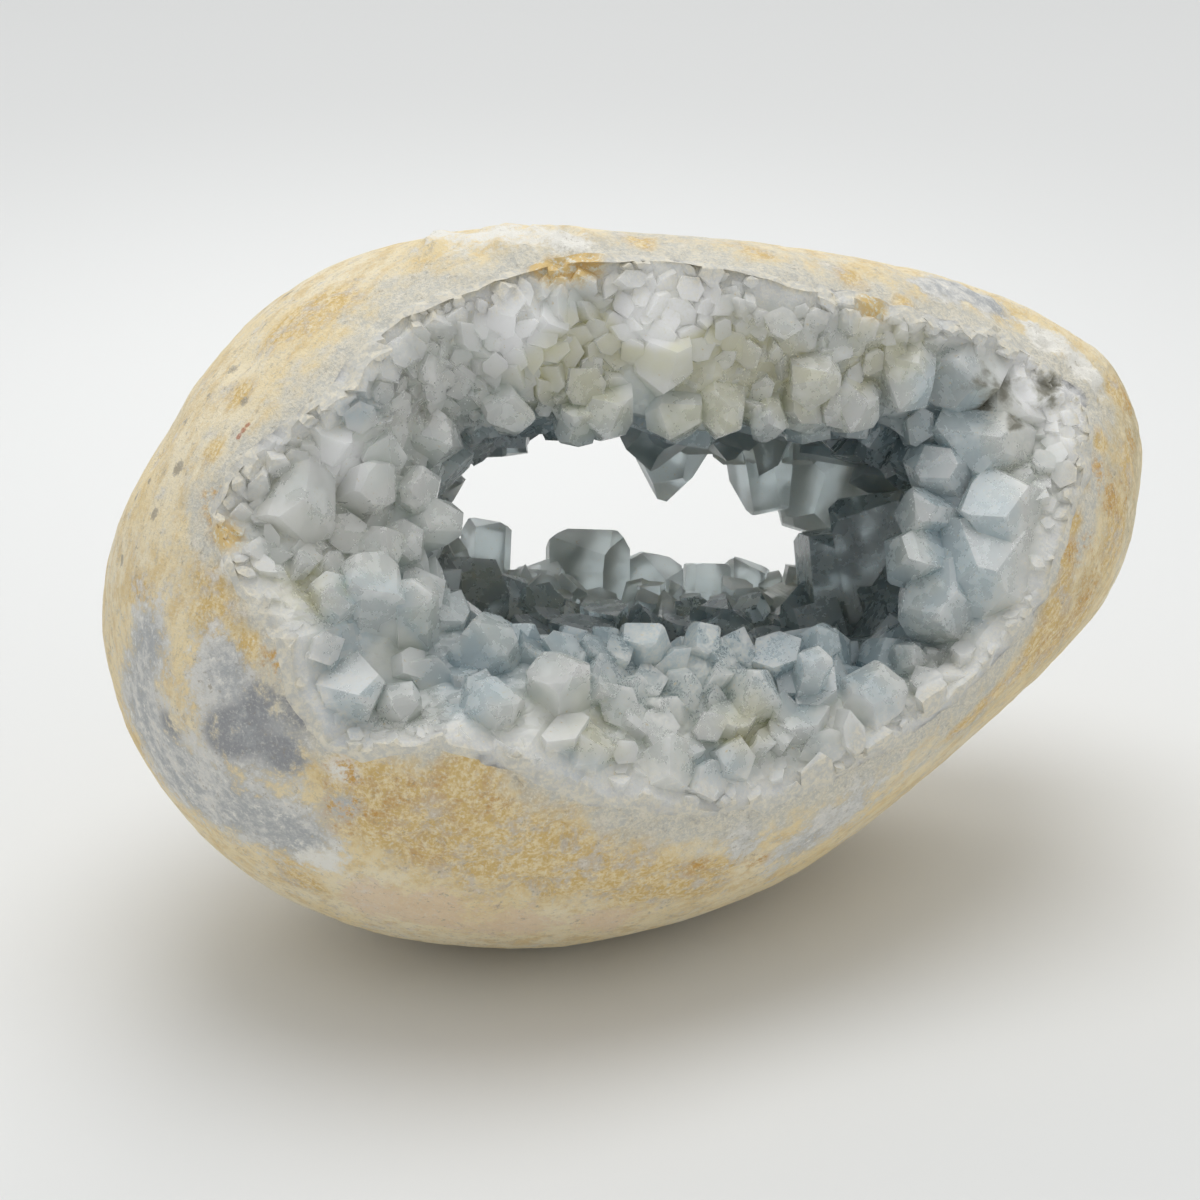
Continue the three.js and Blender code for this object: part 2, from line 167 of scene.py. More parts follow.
def skin_relief(points):
    """Height of the skin's ripples, pits, gravel, broken rim and chalk lumps."""
    coarse = np.clip(swell(points, COARSE_SKIN), 0, 1)
    chalky = np.clip(1.3 * swell(points, CHALK_LUMPS), 0, 1)
    ripple = 0.28 * grain(points, 15, 1)
    pits = np.clip(grain(points, 4.5, 2) - 0.22, 0, 1)
    gravel = grain(points, 2.6, 3, 2)
    beyond, depth = beyond_window(points)
    rim = np.where(depth < FRONT_DEPTH, np.exp(-(np.maximum(beyond, 0) / 4) ** 2), 0)
    broken = rim * (0.55 * grain(points, 2.6, 22, 2) + 0.9 * grain(points, 7, 5, 2))
    crumbly = chalky * (0.35 + 1.3 * grain(points, 3.4, 31))
    return (ripple - pits * (0.45 + 1.6 * coarse) + gravel * (0.1 + 0.26 * coarse) + broken
            + crumbly)


# THE HOLLOW. It runs along one line, in at the broken window in front and out behind,
# lower down. Outlines across it are [across, up], seen along that line from the front.
HOLLOW_AZIMUTH = math.radians(-26)
HOLLOW_ELEVATION = math.radians(22)
HOLLOW_CENTRE = (0.0, 2.0)
ANGLE_STRETCH = 1.7
WINDOW_RIM = [
    (-48, 20.7), (-38.6, 32.4), (-27.5, 36.8), (-16.2, 40.9), (-7.6, 41.5), (6.9, 40.7),
    (18.6, 38.1), (33.9, 35.9), (46.8, 33.6), (56.6, 29.6), (64.2, 24.5), (64.4, 17.4),
    (61.3, 8.1), (57.8, -1), (55.5, -7), (49, -14.5), (41.2, -21.8), (31.9, -27.5), (18.4, -34.5),
    (6.6, -37), (-4.9, -35.1), (-13.3, -33.5), (-21.5, -29.1), (-32.4, -26.2), (-42.1, -28),
    (-47.7, -27), (-51.8, -20.8), (-53, -12.5), (-58.7, -5.7), (-62.5, 1.3), (-64.1, 5.5),
    (-57.8, 13.8),
]
FRONT_THROAT = [
    (-36, 0), (-37, 9), (-33, 19), (-25, 21), (-12, 20), (4, 18.5), (20, 18.5), (33, 22), (41, 20),
    (39, 8), (39, -4), (37, -17), (28, -18), (19, -15), (4, -14), (-10, -14), (-22, -14),
    (-33, -11),
]
REAR_THROAT = [
    (-39, 8), (-36, 19), (-20, 23), (0, 22), (15, 19), (30, 17), (39, 11), (37, -1), (20, -4),
    (0, -5), (-20, -5), (-34, -3),
]
# Ovals are (left, right, bottom, top).
FRONT_CAVITY = (-42, 46, -23, 25)
REAR_CAVITY = (-44, 48, -22, 27)
REAR_MOUTH = (-45, 46, -10, 29)
OVAL_POINTS, SQUARENESS = 16, 2.3
THROAT_DEPTH = 21
REAR_THROAT_DEPTH = 13
CAVITY_DEPTHS = (-14, 14)
LAST_RING = 7
# Thickness of the crust at each of the hollow's eight rings, from the window to the back.
CRUST_THICKNESS = [1.3, 5, 7, 6.5, 6.5, 6, 4, 1.3]
LEAST_CRUST = 2.2
GROWS_ACROSS = 0.7
RING_STEP, ANGLE_STEP = 0.1, 0.05
PLUG_GRID = (50, 180)
PLUG_RUNOUT = 40
# Less deep than this along the hollow's line, a point belongs to the front of the egg.
FRONT_DEPTH = 5
FARTHEST_SKIN = 80.0
SKIN_HALVINGS = 20

outward = np.array([
    math.sin(HOLLOW_AZIMUTH) * math.cos(HOLLOW_ELEVATION),
    -math.cos(HOLLOW_AZIMUTH) * math.cos(HOLLOW_ELEVATION), math.sin(HOLLOW_ELEVATION)])
rightway = np.array([math.cos(HOLLOW_AZIMUTH), math.sin(HOLLOW_AZIMUTH), 0])
upway = np.cross(outward, rightway)
hollow_axes = np.stack([rightway, upway, -outward])


def oval(left, right, bottom, top):
    """An oval with rather square corners, as [across, up] points."""
    turn = np.arange(OVAL_POINTS) / OVAL_POINTS * 2 * np.pi
    shape = [np.sign(f(turn)) * np.abs(f(turn)) ** (2 / SQUARENESS) for f in (np.cos, np.sin)]
    return list(zip((left + right) / 2 + (right - left) / 2 * shape[0],
                    (bottom + top) / 2 + (top - bottom) / 2 * shape[1]))


def outside_egg(points):
    """Below zero inside the plain egg, above zero outside."""
    along = points[..., 0] / HALF_LENGTH
    girth = MIDDLE_RADIUS * (1 - TAPER * along)
    deep = points[..., 1] / (DEPTH_TO_HEIGHT * girth)
    worst = along ** 2 + deep ** 2 + (points[..., 2] / girth) ** 2 - 1
    for facing, distance in GROUND_FLATS:
        worst = np.maximum(worst, points @ unit(np.array(facing)) - distance)
    return worst


def skin_depth(across, up, side):
    """How deep the skin lies at [across, up]: side -1 is the front, +1 the back."""
    def outside(depth):
        return outside_egg(np.stack([across, up, depth], -1) @ hollow_axes) > 0

    inner = np.full(np.shape(across), side * FARTHEST_SKIN)
    for _ in range(round(FARTHEST_SKIN)):
        inner = np.where(outside(inner), inner - side, inner)
    outer = inner + side
    for _ in range(SKIN_HALVINGS):
        middle = (outer + inner) / 2
        out = outside(middle)
        outer, inner = np.where(out, middle, outer), np.where(out, inner, middle)
    return inner


def outline_radius(outline, angles):
    """Distance from the hollow's centre line to an outline, at each angle."""
    across, up = (np.array(outline) - HOLLOW_CENTRE).T
    return np.interp(angles, np.arctan2(up * ANGLE_STRETCH, across), np.hypot(across, up),
                     period=2 * np.pi)


def way_round(angles):
    """Directions across the hollow at the given angles round its centre line."""
    return unit(np.stack([np.cos(angles), np.sin(angles) / ANGLE_STRETCH], -1))


def in_hollow_frame(points):
    return points @ hollow_axes.T


def beyond_window(points):
    """How many millimetres a point lies outside the window's outline, seen from the front."""
    across, up, depth = in_hollow_frame(points).T
    across, up = across - HOLLOW_CENTRE[0], up - HOLLOW_CENTRE[1]
    angles = np.arctan2(up * ANGLE_STRETCH, across)
    return np.hypot(across, up) - outline_radius(WINDOW_RIM, angles), depth


def hollow_rings(angles):
    """The eight rings of the hollow: (8, angles, 3) as across, up and depth."""
    way = way_round(angles)

    def ring(outline, depth_at):
        spot = HOLLOW_CENTRE + way * outline_radius(outline, angles)[..., None]
        return np.concatenate([spot, depth_at(spot[..., 0], spot[..., 1])[..., None]], -1)

    rim = ring(WINDOW_RIM, lambda a, u: skin_depth(a, u, -1))
    throat = ring(FRONT_THROAT, lambda a, u: skin_depth(a, u, -1) + THROAT_DEPTH)
    front = ring(oval(*FRONT_CAVITY), lambda a, u: a * 0 + CAVITY_DEPTHS[0])
    back = ring(oval(*REAR_CAVITY), lambda a, u: a * 0 + CAVITY_DEPTHS[1])
    rear = ring(REAR_THROAT, lambda a, u: skin_depth(a, u, 1) - REAR_THROAT_DEPTH)
    rear_rim = ring(oval(*REAR_MOUTH), lambda a, u: skin_depth(a, u, 1))
    return np.stack([rim, (rim + throat) / 2, throat, front, back, rear,
                     (rear + rear_rim) / 2, rear_rim])


def wall(rings, angles, grow=None):
    """Points of the hollow's wall, grown into the rock by `grow` mm: (rings, angles, 3)."""
    def plain(at_rings, at_angles):
        marks = hollow_rings(at_angles)
        below = np.clip(np.floor(at_rings).astype(int), 0, LAST_RING - 1)
        share = (at_rings - below)[:, None, None]
        return (marks[below] * (1 - share) + marks[below + 1] * share) @ hollow_axes

    points = plain(rings, angles)
    if grow is None:
        return points
    along = plain(np.minimum(rings + RING_STEP, LAST_RING), angles)
    along = along - plain(np.maximum(rings - RING_STEP, 0), angles)
    around = plain(rings, angles + ANGLE_STEP) - plain(rings, angles - ANGLE_STEP)
    facing = -unit(np.cross(along, around))
    way = GROWS_ACROSS * (way_round(angles) @ hollow_axes[:2])[None] - facing
    return points + unit(way) * grow[..., None]


def tube(build, rows):
    """A tube through rows of points, each row closed on itself; returns its points."""
    grid = [[build.verts.new(point) for point in row] for row in rows]
    for upper, lower in zip(grid, grid[1:]):
        for k in range(len(upper)):
            n = (k + 1) % len(upper)
            build.faces.new([upper[k], upper[n], lower[n], lower[k]])
    return grid


def wall_grid(grid):
    """Rings and angles of the hollow, so many of each, and the ring of every point."""
    rings = np.linspace(0, LAST_RING, grid[0])
    return rings, np.arange(grid[1]) / grid[1] * 2 * np.pi, np.repeat(rings, grid[1])


def hollow_plug(name, grid, grow_at):
    """The hollow as a closed plug that runs out past the skin at both ends."""
    rings, angles, at_ring = wall_grid(grid)
    flat = wall(rings, angles).reshape(-1, 3)
    rows = wall(rings, angles, grow_at(at_ring, flat).reshape(grid))
    runout = outward * PLUG_RUNOUT
    rows = np.concatenate([[rows[0] + runout], rows, [rows[-1] - runout]])
    build = bmesh.new()
    edges = tube(build, rows)
    for row, points, side in ((edges[0], rows[0], 1), (edges[-1], rows[-1], -1)):
        end = build.verts.new(points.mean(0) + side * outward)
        for k, point in enumerate(row):
            build.faces.new([end, point, row[(k + 1) % len(row)]])
    bmesh.ops.recalc_face_normals(build, faces=build.faces)
    return mesh_from(build, name)


def rim_wander(rings, points):
    """The broken rim wanders in and out, and deeper walls are uneven."""
    thickness = np.interp(rings, np.arange(LAST_RING + 1), CRUST_THICKNESS)
    return thickness + 1.2 * grain(points, 9, 11) + 0.6 * grain(points, 2.5, 12, 2)


def cut(body, tool, operation):
    """Joins, cuts or crosses two closed meshes."""
    carrier = placed("carrier", body)
    other = bpy.data.objects.new("tool", tool)
    step = carrier.modifiers.new("cut", "BOOLEAN")
    step.object, step.operation, step.solver = other, operation, "MANIFOLD"
    made = worked_out(carrier)
    bpy.data.objects.remove(other)
    return made


def rock_hollow(extra):
    """The space cut out of the rock. Necks too tight for the full crust keep a thin one."""
    full = hollow_plug("full", PLUG_GRID, lambda r, p: rim_wander(r, p) + extra)
    thin = hollow_plug("thin", PLUG_GRID,
                       lambda r, p: np.minimum(rim_wander(r, p), LEAST_CRUST) + extra)
    return cut(full, thin, "UNION")


rind = cut(egg_mesh("ground_rind", skin_relief), rock_hollow(0), "DIFFERENCE")


# THE RIND'S FINISH: cream weathered skin with ochre streaks, orange iron spots, blue-grey
# mottled rock where the grinding went deeper, and chalky lumps. Spots are (x, y, z, radius).
RIND_STAINS = {
    "blue_grey": [
        (-87, -7.4, 50.3, 8.7), (-86.2, -11.1, 61.6, 5.7), (-83.7, -12.8, 40, 8.7),
        (-78.9, -23.2, 38.6, 8.6), (-72.1, -30.7, 35.8, 7.1), (-67.9, -37.8, 42.6, 3),
        (-78.7, -28.6, 54.8, 8.4), (1.6, -45.6, 24.9, 7.4), (-10.9, -49.9, 30.6, 5.8),
        (10.1, -48.1, 32.4, 6.7), (-74.2, -33.9, 52.2, 6), (-79, -24, 62, 5),
        (41, -16.2, 97.4, 4.4), (44.7, -15.2, 96.2, 4.8), (48.8, -14.6, 94.5, 4.8),
        (52.5, -13.9, 92.8, 3.6), (35.9, -17.8, 98.8, 3.4), (20, 38, 84, 10), (14, 44, 72, 7),
        (-40, 44, 30, 12), (-52, 40, 40, 8), (50, 30, 40, 8), (42, 38, 48, 6),
    ],
    "ochre": [
        (54, -35.7, 70.7, 2.6), (50.9, -38.9, 65.8, 2.8), (48.6, -41, 60.5, 3.2),
        (46.8, -42.1, 54.7, 3.6), (44, -42.8, 48.9, 4), (40.4, -43.4, 44.1, 4),
        (34.4, -44.6, 40.8, 3.6), (28.9, -45.3, 37.2, 3.4), (60.9, -29.9, 74.2, 2.4),
        (61.3, -33.5, 65.5, 3), (-80.6, -21.4, 69.7, 6.3), (-78.3, -27.8, 64.2, 3.1),
        (-61.4, -42.1, 41.6, 9.1), (-51, -46.1, 37.2, 10.5), (-38.6, -47.6, 31.3, 9.2),
        (-25.9, -46.2, 24.7, 8), (-15, -45.5, 22.7, 6.6), (-67.3, -39.6, 47.8, 4.6),
        (-24.2, -16.3, 108.9, 3.4), (-60.7, -1.5, 100.6, 5.2), (-53.1, -2, 104.4, 4.9),
        (-69.4, -6, 93.9, 4), (-75, -9.9, 87.3, 2.4), (-70, -24.4, 25.3, 5.8),
        (68.5, -27.7, 68.2, 5), (63, -33.8, 58.8, 5.6), (54.4, -38.1, 48.6, 5.6),
        (47.7, -40, 43.2, 4.6), (71.8, -18.4, 76.9, 4.4), (-9.1, -11.7, 110.3, 3.8),
        (8.4, -16.1, 107.1, 3.8), (21.7, -19.8, 102.7, 3.6), (28.8, -23.8, 98.4, 3),
        (-53.2, -47.9, 48.5, 3.6), (-86, -6.9, 66.9, 3.4), (60, 28, 60, 9), (-60, 34, 80, 10),
        (-20, 40, 90, 8), (10, 46, 34, 10),
    ],
    "orange": [
        (-64.6, -40.7, 39.9, 3), (-58.3, -43.4, 34.6, 3.4), (-52.4, -46.4, 41, 3),
        (48.6, -41, 60.5, 3), (44, -42.8, 48.9, 3.4), (61.3, -33.5, 65.5, 3), (54, -37.5, 60, 3),
        (60, -34, 70, 3), (-67.9, -38.6, 46, 4), (-62, -43.6, 45.4, 3), (-74.5, -32.5, 63.8, 3.4),
        (-77, -19.4, 79.6, 3), (-67.4, -38.8, 45, 3.6), (-54.2, -47.4, 48, 4),
        (-67.6, -37, 39.6, 3), (-23.7, -17, 108.8, 2.3), (-49.1, -48.8, 43.8, 1.5),
        (-17.1, -47.8, 26.5, 2.3), (-6.7, -46, 24.1, 2.1), (56.7, -37.4, 55.4, 3),
        (66.1, -30.9, 63.9, 3), (-72.2, -34.1, 66.9, 1.4), (74.4, -17.6, 75, 2.6),
        (71.7, -23.8, 70.7, 2.6), (53.6, -38.9, 52.3, 3.4), (48.1, -40.8, 47.4, 3),
        (-77.1, -15.5, 82, 2.4), (58, 32, 58, 2.2), (-58, 38, 76, 2.6),
    ],
    "chalk": [
        (-28.4, -5.1, 110.7, 6.7), (-20.9, -11.2, 110.5, 4.1), (-34.4, -0.6, 110, 4.1),
        (-68.7, -38.6, 48.5, 3.3), (-69.2, -30.8, 31.3, 4.3), (64.1, -21.6, 81, 3.5),
        (-77.5, -22.5, 75.6, 2.8), (0, 46, 78, 3.6), (-5, 42, 86, 3), (59.1, -16, 88.2, 3.8),
        (63.9, -19, 83.2, 3.5), (57, -18, 87.5, 3),
    ],
    "pink": [
        (-54.3, -35.2, 21.9, 7.5), (-41, -37.4, 17.5, 6.4), (-27.5, -39.4, 16.2, 5.3),
        (-62.3, -30.3, 23.1, 5.2),
    ],
    # The tan spots darken the right side of the rind.
    "tan": [(66, -30, 66, 11), (50, -40, 48, 10), (32, -46, 40, 7), (74, -16, 74, 8)],
    "granular": [
        (58.4, -29.2, 77.6, 4.6), (57, -33.8, 71.2, 4.8), (52.2, -38.4, 65.4, 5.2),
        (47.1, -41.8, 59.4, 4.9), (40.8, -44.5, 54.2, 4.5), (33.4, -46.9, 50, 4.5),
        (24.6, -48.8, 45.1, 4.5), (15.7, -49.8, 40, 3.8), (-76.9, -27.4, 69.8, 3),
        (-57, -46.4, 51.3, 3.6), (-43.7, -50.4, 43.4, 4.7), (-31.7, -51.2, 36.6, 4.2),
        (-20.8, -51.6, 34.7, 3.4), (-10.5, -50.7, 32.5, 3.2), (-69.8, -37.7, 49.1, 3),
    ],
    "slate": [
        (-78.9, -28.1, 52.6, 3.4), (-80.5, -25.5, 51.1, 3), (-84.8, -16.4, 50, 2.4),
        (-76.9, -30.8, 57.6, 2.6), (-72.6, -35, 57, 2.8), (-74.5, -33, 50, 3),
    ],
}
# Little dark marks and one rust-red one, as (x, y, z, radius).
POCKS = [
    (-78.8, -4.5, 83.6, 1.3), (-82.5, -4.5, 77.1, 1), (-82.5, 5, 76.8, 0.9), (-75.4, 2.3, 88, 0.8),
    (-72, 0.9, 91.9, 0.7), (-68.1, 1.8, 95.3, 1.3), (-81.2, 2.1, 79.9, 0.8),
    (-54.9, 12.8, 101.6, 1.1), (-57.5, 16.3, 99, 0.9), (-85.9, 2, 68.4, 1),
    (-69.7, -7.9, 93.3, 0.9), (40, 38, 70, 1.4), (46, 34, 66, 1), (-30, 44, 74, 1.2),
    (-66, 34, 50, 1.3), (8, 48, 58, 1),
]
RUST_MARK = [(-71.4, -12.2, 90.4, 0.5), (-70.7, -12.2, 91.1, 0.5), (-72.1, -12.3, 89.7, 0.5)]
# How far the broken rim's own look reaches, and from which angle on edges stay sharp.
RIM_WIDTH = 6
SHARP_EDGE = math.radians(38)
CREAM = (0.88, 0.73, 0.44, 1)
PALE_CREAM = (0.9, 0.8, 0.58, 1)
OCHRE = (0.7, 0.5, 0.2, 1)
ORANGE = (0.62, 0.35, 0.1, 1)
BLUE_GREY = (0.46, 0.475, 0.48, 1)
PALE_GREY = (0.74, 0.73, 0.69, 1)
CHALK = (0.89, 0.87, 0.8, 1)
PINK = (0.82, 0.64, 0.46, 1)
SLATE = (0.24, 0.25, 0.275, 1)
FLECK = (0.48, 0.42, 0.31, 1)
TAN = (0.58, 0.49, 0.29, 1)
MAUVE_GREY = (0.62, 0.57, 0.51, 1)
RUST_RED = (0.45, 0.18, 0.1, 1)
SPECK = (0.36, 0.32, 0.25, 1)
RIM_GREY = (0.6, 0.59, 0.53, 1)
RIM_CREAM = (0.76, 0.71, 0.58, 1)


def node(tree, kind, inputs=None, **settings):
    """One node, with its inputs, named by their identifiers, set or joined."""
    made = tree.nodes.new(kind)
    for name, value in settings.items():
        setattr(made, name, value)
    for key, value in (inputs or {}).items():
        socket = next(s for s in made.inputs if s.identifier == key)
        if isinstance(value, bpy.types.NodeSocket):
            tree.links.new(value, socket)
        else:
            socket.default_value = value
    return made


class Paint:
    """A new material's shader nodes, by what they do. Sizes are in millimetres, and the
    name of a mask can stand for its value."""

    def __init__(self, name):
        self.material = bpy.data.materials.new(name)
        self.material.use_nodes = True
        self.tree = self.material.node_tree
        self.tree.nodes.clear()
        self.coords = self.node("TexCoord").outputs["Object"]

    def node(self, kind, inputs=None, **settings):
        inputs = {key: self.mask(value) if isinstance(value, str) else value
                  for key, value in (inputs or {}).items()}
        return node(self.tree, "ShaderNode" + kind, inputs, **settings)

    def mask(self, name):
        return self.node("Attribute", attribute_name=name).outputs["Fac"]

    def sums(self, operation, first, second):
        return self.node("Math", {"Value": first, "Value_001": second},
                         operation=operation).outputs[0]

    def less(self, first, second):
        return self.sums("SUBTRACT", first, second)

    def times(self, *factors):
        return reduce(lambda a, b: self.sums("MULTIPLY", a, b), factors)

    def most(self, *values):
        return reduce(lambda a, b: self.sums("MAXIMUM", a, b), values)

    def step(self, value, low, high, top=1.0):
        """Rises softly from 0 to `top` while the value goes from low to high."""
        return self.node("MapRange", {
            "Value": value, "From Min": low, "From Max": high, "To Max": top},
            interpolation_type="SMOOTHSTEP").outputs["Result"]

    def between(self, share, first, second):
        return self.node("Mix", {"Factor_Float": share, "A_Float": first,
                                 "B_Float": second}).outputs[0]

    def blend(self, share, under, over):
        return self.node("Mix", {"Factor_Float": share, "A_Color": under, "B_Color": over},
                         data_type="RGBA").outputs[2]

    def coated(self, colour, coats):
        """Coats of (share, colour), each laid over those before it."""
        for share, coat in coats:
            colour = self.blend(share, colour, coat)
        return colour

    def cloudy(self, size, detail, roughness=0.55, coords=None):
        """Soft noise of 0 to 1 whose lumps are `size` mm across."""
        return self.node("TexNoise", {
            "Vector": coords or self.coords, "Scale": 1 / (size * MM), "Detail": detail,
            "Roughness": roughness}).outputs["Fac"]

    def stirred(self, size, reach):
        """Coordinates pushed about by a soft noise, by up to `reach` mm."""
        push = self.node("TexNoise", {"Vector": self.coords, "Scale": 1 / (size * MM),
                                      "Detail": 2.0}).outputs["Color"]
        return self.node("VectorMath", {
            "Vector": push, "Vector_001": (reach * MM,) * 3, "Vector_002": self.coords},
            operation="MULTIPLY_ADD").outputs[0]

    def ragged(self, amount, breakup, low=0.25, high=0.85, top=1.0):
        """A region whose soft edge is broken up by a noise."""
        swing = self.times(self.less(breakup, 0.5), 1.5)
        return self.step(self.sums("ADD", amount, swing), low, high, top)

    def small_spots(self, spots, breakup):
        """Ragged little round marks, each (x, y, z, radius) in mm."""
        found = []
        for *centre, radius in spots:
            away = self.node("VectorMath", {
                "Vector": self.coords, "Vector_001": [c * MM for c in centre]},
                operation="DISTANCE").outputs["Value"]
            found.append(self.less(1, self.sums("DIVIDE", away, radius * MM * 1.2)))
        swing = self.times(self.less(breakup, 0.5), 1.6)
        return self.step(self.sums("ADD", self.most(*found), swing), 0.05, 0.45, 0.8)

    def finished(self, shaders):
        node(self.tree, "ShaderNodeOutputMaterial", {
            end: shader.outputs[0] for end, shader in shaders.items()})
        return self.material


def rind_material():
    paint = Paint("nodule_rind")
    blend, between, cloudy = paint.blend, paint.between, paint.cloudy
    step, times, ragged = paint.step, paint.times, paint.ragged
    # Growth streaks lean one way all over the stone.
    streaky = paint.node("Mapping", {
        "Vector": paint.stirred(7, 4),
        "Rotation": Vector((0.65, 0.35, 0.67)).to_track_quat("Z", "X").to_euler(),
        "Scale": (1, 1, 4)}, vector_type="TEXTURE").outputs[0]
    broad = cloudy(16, 4)
    middling = cloudy(5, 5, 0.7)
    fine = cloudy(1.6, 4, 0.75)
    powder = cloudy(0.5, 3, 0.7)
    streaks = between(0.35, cloudy(3.5, 4, 0.65, streaky), fine)
    flecks = between(0.4, cloudy(1.2, 4, 0.7, streaky), powder)
    rough = between(0.45, middling, fine)
    broken = paint.sums("ADD", 0.5, times(paint.less(rough, 0.5), 2.2))
    gritty = blend(step(between(0.5, fine, powder), 0.42, 0.58), RIM_GREY, RIM_CREAM)
    rust = blend(step(rough, 0.46, 0.6, 0.75),
                 blend(step(flecks, 0.42, 0.6), OCHRE, CREAM), MAUVE_GREY)
    mottled = blend(step(between(0.4, middling, fine), 0.42, 0.58), BLUE_GREY, PALE_GREY)
    mottled = blend(step(fine, 0.56, 0.68, 0.7), mottled, CHALK)
    inward = paint.less(1, times("near_rim", 0.8))
    colour = paint.coated(blend(step(broad, 0.35, 0.65), PALE_CREAM, CREAM), [
        (step(streaks, 0.46, 0.62, 0.6), OCHRE),
        (step(rough, 0.52, 0.64, 0.6), PALE_GREY),
        (step(flecks, 0.52, 0.62, 0.5), FLECK),
        (times(step("tan", 0.1, 0.9), step(rough, 0.36, 0.56)), TAN),
        (ragged(paint.most("near_rim", "granular"), middling, 0.2, 0.7), gritty),
        (ragged("ochre", streaks), rust),
        (ragged(times("blue_grey", inward), broken), mottled),
        (ragged("pink", broken, top=0.75), PINK),
        (ragged("chalk", broken), blend(step(fine, 0.54, 0.8), CHALK, RIM_CREAM)),
        (times(step("orange", 0.02, 0.7), step(rough, 0.46, 0.6)),
         blend(step(powder, 0.4, 0.6), ORANGE, OCHRE)),
        (times(step("slate", 0.05, 0.6), step(rough, 0.38, 0.54, 0.8)), SLATE),
        (times(step(cloudy(1.1, 4, 0.8), 0.56, 0.68), step(middling, 0.4, 0.58, 0.7)),
         SPECK),
        (paint.small_spots(POCKS, powder), SPECK),
        (paint.small_spots(RUST_MARK, fine), RUST_RED),
        (step(powder, 0.52, 0.7, 0.4), CHALK),
    ])
    bump = paint.node("Bump", {"Height": paint.sums("ADD", times(fine, 0.8), powder),
                               "Distance": 0.0004, "Strength": 0.8}).outputs[0]
    return paint.finished({"Surface": paint.node("BsdfPrincipled", {
        "Base Color": colour, "Normal": bump, "Roughness": between(fine, 0.6, 0.85),
        "Specular IOR Level": 0.3})})


def mesh_points(mesh):
    points = np.empty(len(mesh.vertices) * 3)
    mesh.vertices.foreach_get("co", points)
    return points.reshape(-1, 3)


def add_mask(mesh, name, values):
    mesh.attributes.new(name, "FLOAT", "POINT").data.foreach_set("value", values)


def finish_piece(name, mesh, material):
    """Makes a mesh of egg millimetres a finished piece, in metres in the row's frame."""
    points = (mesh_points(mesh) + EGG_MIDDLE) * MM
    mesh.vertices.foreach_set("co", points.ravel())
    mesh.materials.clear()
    mesh.materials.append(material)
    mesh.update()
    piece = placed(name, mesh)
    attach(piece, "root")
    return piece


skin = mesh_points(rind)
for stain, spots in RIND_STAINS.items():
    add_mask(rind, stain, swell(skin + EGG_MIDDLE, spots))
beyond, depth = beyond_window(skin)
add_mask(rind, "near_rim", np.where(
    depth < FRONT_DEPTH, np.exp(-np.maximum(beyond, 0) / RIM_WIDTH), 0))
rind.shade_smooth()
rind.set_sharp_from_angle(angle=SHARP_EDGE)
rind_piece = finish_piece("ground_rind", rind, rind_material())
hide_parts("rock_shell")


# THE CRYSTAL CRUST, one grown-together body of celestite. Its backing fills the room
# between the rock and the hollow; the crystals stand on it and are joined with it.
BACKING_GRID = (90, 260)
CRUST_INTO_ROCK = 0.1
CRUST_ABOVE_SKIN = 0.04


def backing_lumps(rings, points):
    return 0.7 * grain(points, 5, 21) - np.interp(rings, [0, 0.4, 2, 2.6], [0.1, 1.3, 1.3, 0.2])


# The broken crust's outside is level with the rock beside it.
outside = egg_mesh("broken_outside", lambda points: skin_relief(points) + CRUST_ABOVE_SKIN)
room = cut(outside, rock_hollow(CRUST_INTO_ROCK), "INTERSECT")
backing = cut(room, hollow_plug("open_hollow", BACKING_GRID, backing_lumps), "DIFFERENCE")

